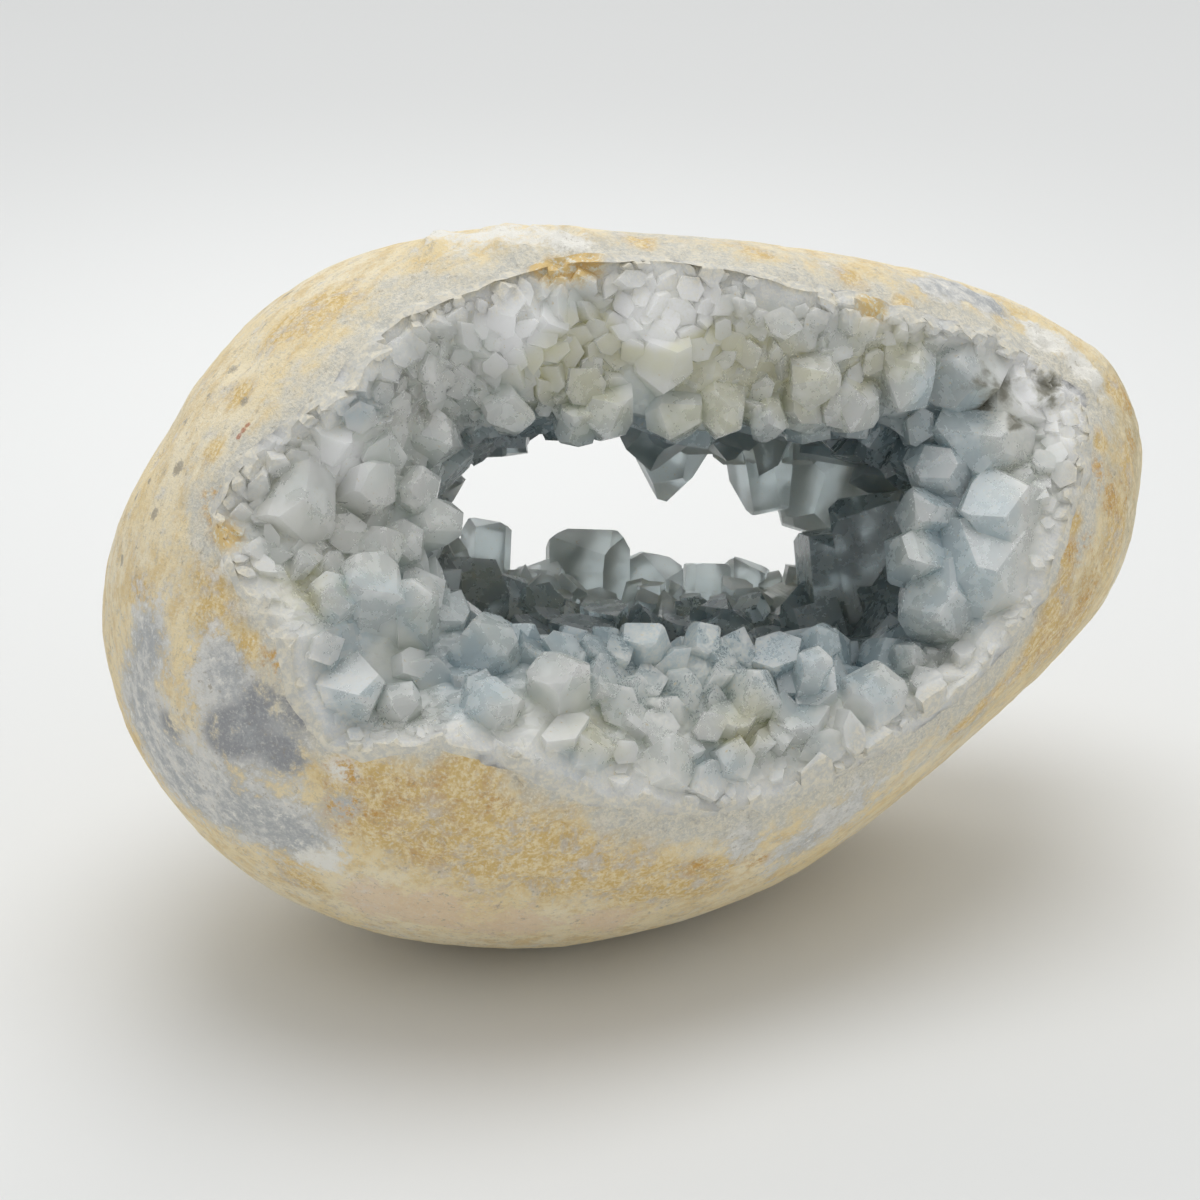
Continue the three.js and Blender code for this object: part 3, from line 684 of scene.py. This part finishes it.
# Crystals of the front flare: [across, up, half width, half length, way the tip points].
FLARE_CRYSTALS = [
    (-27, -15.5, 5.4, 5.6, 100), (-25.5, -8, 4.2, 3.2, 80), (-18.5, -9.5, 3.6, 3.8, 90),
    (-12.4, -8, 2.4, 3.2, 100), (-5.8, -8.4, 2.5, 3, 85), (4.4, -8.6, 3.4, 2.8, 90),
    (-3, -14.5, 3.6, 5, 110), (3.2, -12.6, 3, 3, 70), (15.5, -11.2, 3.8, 5, 85),
    (29.5, -9.5, 5.4, 3.2, 95), (27, -14, 5, 3, 80), (19.6, -20.8, 2.8, 6.4, 75),
    (28.4, -23, 5.2, 4.4, 60), (35, -18.4, 3, 5, 70), (11, -22, 5.2, 4.6, 80),
    (1, -20.4, 3.6, 2.6, 60), (-12.6, -29, 4.2, 3.8, 95), (-16, -21, 4.8, 5, 90),
    (-1.6, -31, 4.8, 4.6, 80), (8.2, -30.2, 3.8, 3, 70), (-25, -23, 4, 3.4, 80),
    (-36.5, -12, 3.6, 8.6, 88), (-42.5, -8.5, 4.6, 6, 80), (-41.5, -1, 4, 4, 75),
    (-48, -8, 3.6, 3.4, 60), (-45.5, -20.5, 5.8, 4.2, 70), (-38.4, -23, 3.2, 3, 80),
    (-31.8, 2.5, 3.6, 6, 20), (-33, 11, 2.6, 2.6, 10), (-38.5, 0.6, 3.4, 3.6, 30),
    (-44.5, 8.4, 3.6, 3.6, 20), (-53, 6.8, 6.6, 3.6, 10), (-56.5, 12.6, 4.4, 3, -20),
    (-47.8, 16.2, 4.6, 2.8, -20), (-38.2, 8.6, 3.4, 3.6, 0), (-35, 17, 4, 4, -30),
    (-24.6, 22, 3.8, 3.6, -60), (-13.6, 20, 3.4, 3.4, -80), (-9.4, 21, 4, 4, -85),
    (-1.5, 27, 5, 3.6, -80), (0.4, 20, 4.6, 3.2, -90), (7, 21.6, 4.2, 3.8, -90),
    (14, 21.4, 3, 3.4, -85), (21, 27, 4.4, 4, -80), (26.5, 22.8, 4.6, 4.6, -90),
    (34.5, 26.8, 5.8, 5.4, -100), (44.5, 28.4, 6.4, 4.8, -120), (47, 33, 4, 3, -100),
    (51.4, 22, 4.6, 3.6, 170), (46.4, 17, 8, 6, 165), (41.6, 12.4, 4.8, 4.4, 190),
    (38, 18, 3, 3.4, 185), (49, 6, 7, 5, 170), (40.4, 5.6, 4, 4.6, 175), (48, -3.4, 8, 6.4, 160),
    (41.8, -8.8, 6, 6, 140), (36, -0.8, 5, 6.6, 170), (57, 6.6, 4, 3.6, 170),
    (54, -12, 3.6, 3, 140), (55.5, 24.4, 3.4, 2.8, 200),
]
# Crystals inside the rear mouth and on its lip, listed in the same way.
REAR_CRYSTALS = [
    (14, -5, 5, 4.6, 90), (21, -4, 7.4, 8.8, 95), (30, -2, 9.4, 11.4, 101), (-36, 4, 5, 5, 40),
    (-1.5, 22, 5.5, 7.6, -88), (9, 21, 4.8, 5.5, -86), (-34, 12, 5, 4, -10), (37, 8, 5, 5, 175),
    (-13, 22, 4.6, 3, -92), (-22, 22, 5, 3, -95), (-28, -3, 5, 2.6, 85), (-20, -5, 5.6, 2.8, 95),
    (-11.5, -5, 6, 3.2, 90), (-3.5, -5, 5.6, 3, 85), (4.5, -5, 5.6, 3.4, 95), (-34, -1, 5, 4, 75),
]
REAR_LIP_CRYSTALS = [
    (-31.5, -5, 4.5, 8, 88), (-24, -7, 4, 3.2, 90), (-18.5, -7, 4.6, 5, 95),
    (-10.8, -7.5, 7.4, 10.6, 90), (-1, -7, 4.8, 6, 92), (6, -7, 4.8, 6.4, 86),
    (12, -6.5, 4.4, 5.4, 90), (18, 24, 6, 11, -80), (3, 25, 6.4, 12.4, -100),
    (34, 22, 8.4, 13.4, -106),
]
# How far listed crystals are sunk into the wall, how long they are, which rings of the
# hollow they stand on, and how far below the skin of the egg they stay.
SUNK_SHARE, SUNK = 0.7, 1
LENGTH_SHARE, SPARE_LENGTH = 1.8, 2.5
FLARE_RINGS = (0.15, 2.1)
REAR_RING, REAR_LIP_RING = 4.6, 5.7
LEAST_BELOW_SKIN = 1.5


def corners_of(planes):
    """Corners of the convex body that planes, each (normal, distance), enclose."""
    normals, distances = (np.array(side) for side in zip(*planes))
    count = len(planes)
    triples = np.array([(i, j, k) for i in range(count) for j in range(i + 1, count)
                        for k in range(j + 1, count)])
    sets = normals[triples]
    good = np.abs(np.linalg.det(sets)) > 1e-5
    points = np.linalg.solve(sets[good], distances[triples[good]][..., None])[..., 0]
    return points[np.all(points @ normals.T < distances + 1e-6, axis=1)]


def tilted(degrees, steepness):
    angle, steep = math.radians(degrees), math.radians(steepness)
    return np.array([math.cos(angle) * math.sin(steep), math.sin(angle) * math.sin(steep),
                     math.cos(steep)])


def crystal_corners(half_width, length, draw):
    """A stout prism, its foot at zero: a flat or wedge-shaped top near `length`, a ring of
    slanting faces round it, and a few small cut edges."""
    planes = [(np.array([0, 0, -1.0]), 0.0)]
    broad = draw.uniform(0.72, 1)
    for degrees in (0, 50, 130, 180, 230, 310):
        normal = tilted(degrees + draw.uniform(-7, 7), 90)
        reach = half_width * draw.uniform(0.85, 1) * math.hypot(normal[0], normal[1] * broad)
        planes.append((normal, reach))
    wedge = draw.random() < 0.45
    top = np.array([0, 0, length])
    normal = tilted(draw.uniform(0, 360), draw.uniform(3, 20))
    planes.append((normal, normal @ top + (half_width if wedge else 0)))
    start = draw.uniform(0, 90)
    for k in range(4):
        around = start + 90 * k + draw.uniform(-14, 14)
        reach = half_width * (draw.uniform(0, 0.3) if wedge else draw.uniform(0.35, 0.9))
        normal = tilted(around, draw.uniform(38, 62))
        planes.append((normal, normal @ (top + reach * tilted(around, 90))))
    corners = corners_of(planes)
    for _ in range(3):
        normal = tilted(draw.uniform(0, 360), draw.uniform(20, 85))
        reach = (corners @ normal).max()
        planes.append((normal, reach - half_width * draw.uniform(0.03, 0.1)))
    return corners_of(planes)


def crystal_object(name, corners):
    """A crystal as the convex body round its corners."""
    build = bmesh.new()
    for corner in corners:
        build.verts.new(corner)
    bmesh.ops.remove_doubles(build, verts=build.verts, dist=0.01)
    made = bmesh.ops.convex_hull(build, input=build.verts)
    spare = [v for v in made["geom_interior"] if isinstance(v, bmesh.types.BMVert)]
    bmesh.ops.delete(build, geom=spare, context="VERTS")
    bmesh.ops.dissolve_limit(build, angle_limit=0.01, verts=build.verts, edges=build.edges)
    bmesh.ops.recalc_face_normals(build, faces=build.faces)
    return bpy.data.objects.new(name, mesh_from(build, name))


def stand(corners, foot, axis, turn):
    """Stands a crystal's corners at `foot`, along `axis`, turned about that axis."""
    twist = Vector((0, 0, 1)).rotation_difference(Vector(axis)).to_matrix()
    spin = np.array([[math.cos(turn), -math.sin(turn), 0], [math.sin(turn), math.cos(turn), 0],
                     [0, 0, 1]])
    return corners @ spin.T @ np.array(twist).T + foot


def ring_of_flare(angle, radius):
    """Which ring of the hollow's front flare lies at an angle and distance."""
    rim = outline_radius(WINDOW_RIM, angle)
    throat = outline_radius(FRONT_THROAT, angle)
    return float(np.clip(2 * (rim - radius) / (rim - throat), *FLARE_RINGS))


def stand_listed(collection, rows, ring_at, toward_front, draw):
    """Stands listed crystals on the wall; `toward_front` leans them to the window."""
    for across, up, half_width, half_length, tip in rows:
        dr, du = across - HOLLOW_CENTRE[0], up - HOLLOW_CENTRE[1]
        angle = math.atan2(du * ANGLE_STRETCH, dr)
        ring = ring_at(angle, math.hypot(dr, du))
        axis = unit(rightway * math.cos(math.radians(tip)) + upway * math.sin(math.radians(tip))
                    + outward * toward_front)
        foot = wall(np.array([ring]), np.array([angle]))[0, 0]
        foot = foot - axis * (SUNK_SHARE * half_length + SUNK)
        corners = crystal_corners(half_width, LENGTH_SHARE * half_length + SPARE_LENGTH, draw)
        corners = stand(corners, foot, axis, draw.uniform(0, 3.14))
        across_at, up_at, depth_at = in_hollow_frame(corners).T
        above = (skin_depth(across_at, up_at, -1) - depth_at).max()
        corners -= outward * max(0, above + LEAST_BELOW_SKIN)
        collection.objects.link(crystal_object("listed", corners))


draw = random.Random(5)
large_crystals = bpy.data.collections.new("large_crystals")
stand_listed(large_crystals, FLARE_CRYSTALS, ring_of_flare, 1, draw)
stand_listed(large_crystals, REAR_CRYSTALS, lambda *_: REAR_RING, 0, draw)
stand_listed(large_crystals, REAR_LIP_CRYSTALS, lambda *_: REAR_LIP_RING, -0.2, draw)

# Crystal forms that the smaller ones are grown from, about two across and two high.
FORM_COUNT, FORM_LENGTH, FORM_SUNK = 8, 2.1, 0.9
crystal_forms = bpy.data.collections.new("crystal_forms")
for k in range(FORM_COUNT):
    corners = crystal_corners(1, FORM_LENGTH, draw) - np.array([0, 0, FORM_SUNK])
    crystal_forms.objects.link(crystal_object(f"form_{k}", corners))


# The four sizes of scattered crystals, in mm, and where the front flare carries only the
# fine ones: [across, up, radius].
SMALL_CRYSTALS = {
    "deep": {"size": 5.2, "spacing": 9.5}, "middling": {"size": 3.3, "spacing": 3.5},
    "grains": {"size": 2.2, "spacing": 2.4}, "sugar": {"size": 1.2, "spacing": 1.6},
}
GROWING_GRID = (71, 160)
FINE_GROUND = [
    (-28, 30, 10), (-38, 22, 7), (-12, 35, 9), (2, 38, 9), (16, 36, 8), (28, 33, 6), (40, 36, 6),
    (56, 28, 8), (60, 14, 7), (-52, 16, 7), (-56, 2, 6), (-20, 27, 6),
]


def crystal_wall():
    """The open wall that crystals grow on, facing inwards. Each mask says, mostly ring by
    ring, how thickly one kind grows."""
    rings, angles, at_ring = wall_grid(GROWING_GRID)
    points = wall(rings, angles)
    build = bmesh.new()
    tube(build, points)
    mesh = mesh_from(build, "crystal_wall")
    mesh.update()
    if mesh.polygons[0].center.dot(mesh.polygons[0].normal) > 0:
        mesh.flip_normals()
    flat = in_hollow_frame(points.reshape(-1, 3))[:, :2]
    fine = np.clip(1.4 * swell(flat, FINE_GROUND), 0, 1) * (at_ring < 2.2)
    taken = swell(flat, [(across, up, 0.85 * width) for across, up, width, *_ in FLARE_CRYSTALS])
    room_left = 1 - np.clip(taken * 1.5 * (at_ring < 2.4), 0, 1)
    add_mask(mesh, "grains", fine * np.interp(at_ring, [0, 0.15, 0.4], [0, 0.4, 1]))
    add_mask(mesh, "sugar", np.interp(
        at_ring, [0, 0.5, 1.0, 6.3, 6.6, 7], [0.35, 0.8, 0, 0, 0.8, 0.35]))
    add_mask(mesh, "middling", (1 - fine) * room_left * np.interp(
        at_ring, [0, 0.35, 0.8, 2.4, 2.8, 4.8, 5.2, 6.4, 6.8], [0, 0.3, 1, 1, 0.3, 0.3, 1, 1, 0]))
    add_mask(mesh, "deep", np.interp(at_ring, [2.2, 2.5, 4.6, 4.9], [0, 1, 1, 0]))
    return bpy.data.objects.new("crystal_wall", mesh)


def grow_crystals(tree, where, forms, kind, inputs):
    """Stands one size of crystals on the wall, apart by `spacing`, leaning at random."""
    points = node(tree, "GeometryNodeDistributePointsOnFaces", {
        "Mesh": where, "Distance Min": inputs[kind + " spacing"], "Density Max": 4.0,
        "Density Factor": node(tree, "GeometryNodeInputNamedAttribute", {"Name": kind},
                               data_type="FLOAT").outputs[0],
        "Seed": inputs["seed"]}, distribute_method="POISSON")
    lean = node(tree, "FunctionNodeRandomValue", {
        "Min": (-0.5, -0.5, 0), "Max": (0.5, 0.5, 6.28), "Seed": inputs["seed"]},
        data_type="FLOAT_VECTOR").outputs[0]
    turn = node(tree, "FunctionNodeRotateRotation", {
        "Rotation": points.outputs["Rotation"],
        "Rotate By": node(tree, "FunctionNodeEulerToRotation", {"Euler": lean}).outputs[0]},
        rotation_space="LOCAL").outputs[0]
    size = node(tree, "FunctionNodeRandomValue", {
        "Min": (0.5, 0.5, 0.6), "Max": (1.25, 1.25, 1.3), "Seed": inputs["seed"]},
        data_type="FLOAT_VECTOR").outputs[0]
    size = node(tree, "ShaderNodeVectorMath", {"Vector": size, "Scale": inputs[kind + " size"]},
                operation="SCALE").outputs[0]
    return node(tree, "GeometryNodeInstanceOnPoints", {
        "Points": points.outputs["Points"], "Instance": forms, "Pick Instance": True,
        "Rotation": turn, "Scale": size}).outputs[0]


def combined(tree, operation, parts):
    """Closed meshes joined or crossed into one."""
    made = node(tree, "GeometryNodeMeshBoolean", operation=operation, solver="MANIFOLD")
    for part in parts:
        tree.links.new(part, made.inputs["Mesh 2"])
    return made.outputs["Mesh"]


def new_tree(name, inputs):
    """A geometry tree with named inputs: {name: (socket type, value)}."""
    tree = bpy.data.node_groups.new(name, "GeometryNodeTree")
    tree.interface.new_socket("Geometry", in_out="OUTPUT", socket_type="NodeSocketGeometry")
    tree.interface.new_socket("Geometry", in_out="INPUT", socket_type="NodeSocketGeometry")
    for label, (socket_type, _) in inputs.items():
        tree.interface.new_socket(label, in_out="INPUT", socket_type=socket_type)
    return tree, {s.name: s for s in node(tree, "NodeGroupInput").outputs if s.name}


def grown(name, base, tree, inputs):
    """Runs a geometry tree on a mesh and returns the plain mesh that it makes."""
    carrier = placed(name, base)
    step = carrier.modifiers.new(name, "NODES")
    step.node_group = tree
    for socket in tree.interface.items_tree:
        if socket.in_out == "INPUT" and socket.name in inputs:
            step[socket.identifier] = inputs[socket.name][1]
    made = worked_out(carrier)
    made.name = name
    return made


GREY_CRYSTAL = (0.85, 0.89, 0.84, 1)
MILKY_CRYSTAL = (0.93, 0.945, 0.87, 1)
BLUE_CRYSTAL = (0.69, 0.79, 0.825, 1)
SMOKY_CRYSTAL = (0.86, 0.83, 0.6, 1)
PALE_FACET = (0.9, 0.92, 0.9, 1)
DEEP_PAINTED_SHADE = (0.38, 0.5, 0.56, 1)
REAR_PAINTED_LIGHT = (0.82, 0.94, 1.0, 1)
WHITE_CRYSTAL = (0.93, 0.93, 0.92, 1)
POWDER = (0.84, 0.83, 0.76, 1)
IRON_SPECK = (0.7, 0.54, 0.24, 1)
DUST = (0.8, 0.78, 0.66, 1)
POCKET_PAINTED_SHADE = (0.2, 0.19, 0.14, 1)
FRINGE_GREY = (0.7, 0.7, 0.69, 1)
FRINGE_CREAM = (0.86, 0.83, 0.75, 1)


def crystal_material():
    paint = Paint("celestite")
    blend, between, cloudy = paint.blend, paint.between, paint.cloudy
    step, times, ragged = paint.step, paint.times, paint.ragged
    middling = cloudy(7, 3)
    small = cloudy(2.6, 4, 0.6)
    fine = cloudy(0.9, 4, 0.65)
    powder = cloudy(0.45, 3, 0.6)
    grit = between(0.5, small, powder)
    veils = step(small, 0.42, 0.72)
    milky = ragged("milky", middling)
    rim = ragged("near_rim", small, 0.3, 1.1)
    fringe = ragged("fringe", between(0.4, small, fine), 0.25, 0.95, 0.75)
    dusty = times(step("dusty", 0.1, 0.9), step(grit, 0.4, 0.62, 0.6))
    colour = paint.coated(blend(step(middling, 0.4, 0.6), GREY_CRYSTAL, MILKY_CRYSTAL), [
        (ragged("blue", middling), BLUE_CRYSTAL),
        (ragged("smoky", middling, top=0.8), SMOKY_CRYSTAL),
        (milky, MILKY_CRYSTAL),
        (ragged("white", middling), WHITE_CRYSTAL),
        (step("tone", 0.3, 1.5), PALE_FACET),
        # Painted shade: crystals deep in the hollow, far from either skin, are painted darker and
        # bluer.
        (times("deep", 0.85), DEEP_PAINTED_SHADE),
        # Painted light: crystals at the rear mouth are painted paler and bluer, as if lit from
        # behind.
        (times("rear", 0.8), REAR_PAINTED_LIGHT),
        (times(veils, 0.28), PALE_FACET),
        (fringe, blend(step(grit, 0.42, 0.6), FRINGE_GREY, FRINGE_CREAM)),
        (dusty, POWDER),
        (times(step(powder, 0.6, 0.68), step(small, 0.42, 0.6, 0.6)), DUST),
        (step(fine, 0.66, 0.72, 0.5), IRON_SPECK),
        (rim, blend(step(fine, 0.4, 0.6), RIM_GREY, RIM_CREAM)),
        (ragged("ochre", between(0.5, small, fine)),
         blend(step(fine, 0.48, 0.64), OCHRE, DUST)),
        # Painted shade: small hollows near the window's top right are painted almost black.
        (ragged("painted_shade_pocket", small, top=0.9), POCKET_PAINTED_SHADE),
    ])
    cover = paint.most(dusty, rim, fringe, "white", times(paint.most(veils, milky), 0.4))
    frosted = paint.most(cover, times("rear", 0.6))
    surface = paint.node("BsdfPrincipled", {
        "Base Color": colour, "IOR": 1.62, "Roughness": between(frosted, 0.24, 0.62),
        "Transmission Weight": times(paint.less(1, cover), between("rear", 0.46, 0.9)),
        "Subsurface Weight": times(paint.less(1, rim), 0.8),
        "Subsurface Radius": (1, 1, 1), "Subsurface Scale": 0.0045,
        "Normal": paint.node("Bump", {
            "Height": between(fringe, small, powder), "Distance": 0.0003,
            "Strength": between(fringe, 0.1, 0.9)}).outputs[0]})
    return paint.finished({"Surface": surface, "Volume": paint.node(
        "VolumeAbsorption", {"Color": (0.58, 0.67, 0.71, 1), "Density": 8.0})})


celestite = crystal_material()
crust_inputs = {
    "wall": ("NodeSocketObject", crystal_wall()),
    "room": ("NodeSocketObject", bpy.data.objects.new("crust_room", room)),
    "large crystals": ("NodeSocketCollection", large_crystals),
    "crystal forms": ("NodeSocketCollection", crystal_forms),
    "seed": ("NodeSocketInt", 4),
    "finish": ("NodeSocketMaterial", celestite),
}
for kind, measures in SMALL_CRYSTALS.items():
    for measure, value in measures.items():
        crust_inputs[f"{kind} {measure}"] = ("NodeSocketFloat", value)
tree, given = new_tree("grown_crust", crust_inputs)
where = node(tree, "GeometryNodeObjectInfo", {"Object": given["wall"]}).outputs["Geometry"]
forms = node(tree, "GeometryNodeCollectionInfo", {
    "Collection": given["crystal forms"], "Separate Children": True,
    "Reset Children": True}).outputs[0]
listed = node(tree, "GeometryNodeCollectionInfo", {
    "Collection": given["large crystals"], "Separate Children": True}).outputs[0]
layers = [grow_crystals(tree, where, forms, kind, given) for kind in SMALL_CRYSTALS]
standing = combined(tree, "UNION", [given["Geometry"], listed])
standing = combined(tree, "UNION", [standing, *layers])
trimmed = combined(tree, "INTERSECT", [
    standing, node(tree, "GeometryNodeObjectInfo", {"Object": given["room"]}).outputs["Geometry"]])
real = node(tree, "GeometryNodeRealizeInstances", {"Geometry": trimmed})
dressed = node(tree, "GeometryNodeSetMaterial", {"Geometry": real.outputs[0],
                                                 "Material": given["finish"]})
node(tree, "NodeGroupOutput", {"Socket_0": dressed.outputs[0]})


def drop_chips(mesh):
    """Keeps the one main body, without the loose chips, closed bubbles and back-to-back
    faces that the joins left."""
    build = bmesh.new()
    build.from_mesh(mesh)
    bodies, seen = [], set()
    for start in build.verts:
        body = [] if start in seen else [start]
        seen.add(start)
        for vert in body:
            near = [edge.other_vert(vert) for edge in vert.link_edges]
            body += [other for other in near if other not in seen]
            seen.update(near)
        bodies.append(body)
    bodies.sort(key=len)
    bmesh.ops.delete(build, geom=[v for body in bodies[:-1] for v in body], context="VERTS")
    build.verts.index_update()
    twins = {}
    for face in build.faces:
        twins.setdefault(tuple(sorted(v.index for v in face.verts)), []).append(face)
    bmesh.ops.delete(build, geom=[f for same in twins.values() if len(same) > 1 for f in same],
                     context="FACES")
    build.to_mesh(mesh)
    build.free()


crust = grown("celestite_crust", backing, tree, crust_inputs)
drop_chips(crust)

# Facets whose normals and planes agree to one step in these have the same tone.
NORMAL_STEPS, PLANE_STEPS = 40, 5


def facet_tones(mesh):
    """One tone of 0 to 1 for each flat facet, however many pieces the joins left of it."""
    tones = np.empty(len(mesh.loops))
    for face in mesh.polygons:
        normal = face.normal
        plane = round(normal.dot(face.center) * PLANE_STEPS)
        mark = tuple(round(c * NORMAL_STEPS) for c in normal) + (plane,)
        tones[face.loop_start:face.loop_start + face.loop_total] = random.Random(
            hash(mark)).random()
    return tones


crust.attributes.new("tone", "FLOAT", "CORNER").data.foreach_set("value", facet_tones(crust))

# Tints of the crust, seen along the hollow: (across, up, radius).
CRUST_TINTS = {
    "blue": [
        (42.3, 13.8, 8), (45, 4, 6), (44, -5, 7), (13.9, -13.2, 5), (-27.9, -17.7, 7),
        (-42, -9.9, 8), (-47.1, -23.2, 7), (-13.8, -30.9, 5), (6.6, -31.8, 5), (40.8, 24.5, 7),
        (-44.3, 20.5, 4), (24.6, -21.7, 9),
    ],
    "smoky": [
        (-7.3, 25.6, 9), (4, 23, 9), (-16, 26, 7), (19.4, 24.2, 7), (0, 32, 8), (-53, -7, 6),
        (-11.7, -24.7, 5), (10.5, -24.7, 5), (33, 33, 8),
    ],
    "white": [
        (2.3, 36, 6), (-4, 34, 5), (-46, 13, 4), (62, 19, 5), (-22, 33, 7), (56, 30, 6),
        (61, 26, 5), (54, 25, 3),
    ],
    "milky": [
        (-38.4, -13.6, 5), (-31.5, -1, 4), (-16, -22.7, 6), (-4.4, 22.6, 5), (-54, 3.4, 5),
        (24.7, -24, 5), (0, -14, 6),
    ],
    "ochre": [(-18.7, 42.2, 4), (-13, 41.6, 4), (-62, 2, 3), (30, 36.5, 3)],
    # Painted shade: small pits near the window's top right, darkened because they lie in shade.
    "painted_shade_pocket": [(48.8, 26.8, 3.2), (58, 25.3, 2.8), (46.6, 22.5, 2), (52, 19.8, 1.8)],
    "dusty": [
        (50.5, 21.9, 4), (57.9, 16.8, 7), (3.1, 37.5, 7), (-5, 38, 6), (4.6, -14.3, 7),
        (-4, -16, 6), (12, -16, 5), (54, -13, 5), (-20, -37, 8), (4, -39, 8), (0, -22, 4),
        (-40, -31, 8),
    ],
}
# The rest of the masks: the broken rim and the frosted fringe inside it, the rear by the
# back skin, whose crystals are painted paler as if lit from behind, and the painted shade of
# the depth, which starts sooner at the bottom and is weaker at the left.
PAINTED_SHADE_SPAN = 11
facets = mesh_points(crust)
across, up, depth = in_hollow_frame(facets).T
behind = skin_depth(across, up, 1) - depth
nearest_skin = np.minimum(depth - skin_depth(across, up, -1), behind)
for tint, spots in CRUST_TINTS.items():
    add_mask(crust, tint, swell(np.stack([across, up], 1), spots) * (depth < 0))
add_mask(crust, "near_rim", np.exp(-np.maximum(nearest_skin, 0) ** 2))
past_rim, _ = beyond_window(facets)
add_mask(crust, "fringe", np.exp(-(np.maximum(-past_rim, 0) / RIM_WIDTH) ** 2)
         * (depth < FRONT_DEPTH))
rear_reach = np.interp(up, [0, 12], [14, 24])
add_mask(crust, "rear", np.exp(-(np.maximum(behind, 0) / rear_reach) ** 2) * (depth > 0))
# The "deep" mask of the crust is painted shade, which darkens the crystals deep in the hollow.
painted_shade_from = np.interp(up, [-8, 4], [9, 15])
add_mask(crust, "deep", np.clip((nearest_skin - painted_shade_from) / PAINTED_SHADE_SPAN, 0, 1)
         * np.interp(across, [-34, -22], [0.4, 1]))
crust_piece = finish_piece("celestite_crust", crust, celestite)
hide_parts("crystal_crust")
for spare in [crust_inputs["wall"][1], crust_inputs["room"][1], *large_crystals.objects,
              *crystal_forms.objects]:
    bpy.data.objects.remove(spare)


# THE STUDIO: a plain pale floor, a large soft light above and behind, a small one behind
# that lights the rear mouth, a pale sky, and the camera, which looks in along the hollow.
FLOOR_HALF_WIDTH = 6
CAMERA_DISTANCE = 0.52
CAMERA_TARGET = Vector((-0.010203, -0.0007, 0.049741))

build = bmesh.new()
bmesh.ops.create_grid(build, x_segments=1, y_segments=1, size=FLOOR_HALF_WIDTH)
mesh = mesh_from(build, "floor")
paint = Paint("pale_floor")
mesh.materials.append(paint.finished({"Surface": paint.node("BsdfPrincipled", {
    "Base Color": (0.78, 0.785, 0.775, 1), "Roughness": 0.7, "Specular IOR Level": 0.2})}))
floor = placed("floor", mesh)


def soft_light(name, at, target, size, watts, spread=180):
    lamp = bpy.data.lights.new(name, "AREA")
    lamp.shape, lamp.size, lamp.energy = "DISK", size, watts
    lamp.spread = math.radians(spread)
    holder = placed(name, lamp)
    holder.location = at
    holder.rotation_euler = (Vector(target) - Vector(at)).to_track_quat("-Z", "Y").to_euler()


soft_light("above_behind", (0.04, 0.1, 1.35), (0, 0, 0.03), 1.1, 7.8)
soft_light("rear_glow", (0.16, 0.5, 0.4), (0.05, 0.16, 0), 0.3, 0.085, 60)
world = bpy.data.worlds.new("studio")
world.use_nodes = True
sky = world.node_tree.nodes["Background"]
sky.inputs["Color"].default_value = (0.98, 0.99, 1, 1)
sky.inputs["Strength"].default_value = 0.64
bpy.context.scene.world = world
bpy.context.scene.view_settings.view_transform = "Standard"

lens = bpy.data.cameras.new("camera")
lens.lens, lens.sensor_width, lens.clip_start = 100.8, 36, 0.01
camera = placed("camera", lens)
camera.location = CAMERA_TARGET + Vector(outward) * CAMERA_DISTANCE
camera.rotation_euler = Vector(-outward).to_track_quat("-Z", "Y").to_euler()
bpy.context.scene.camera = camera
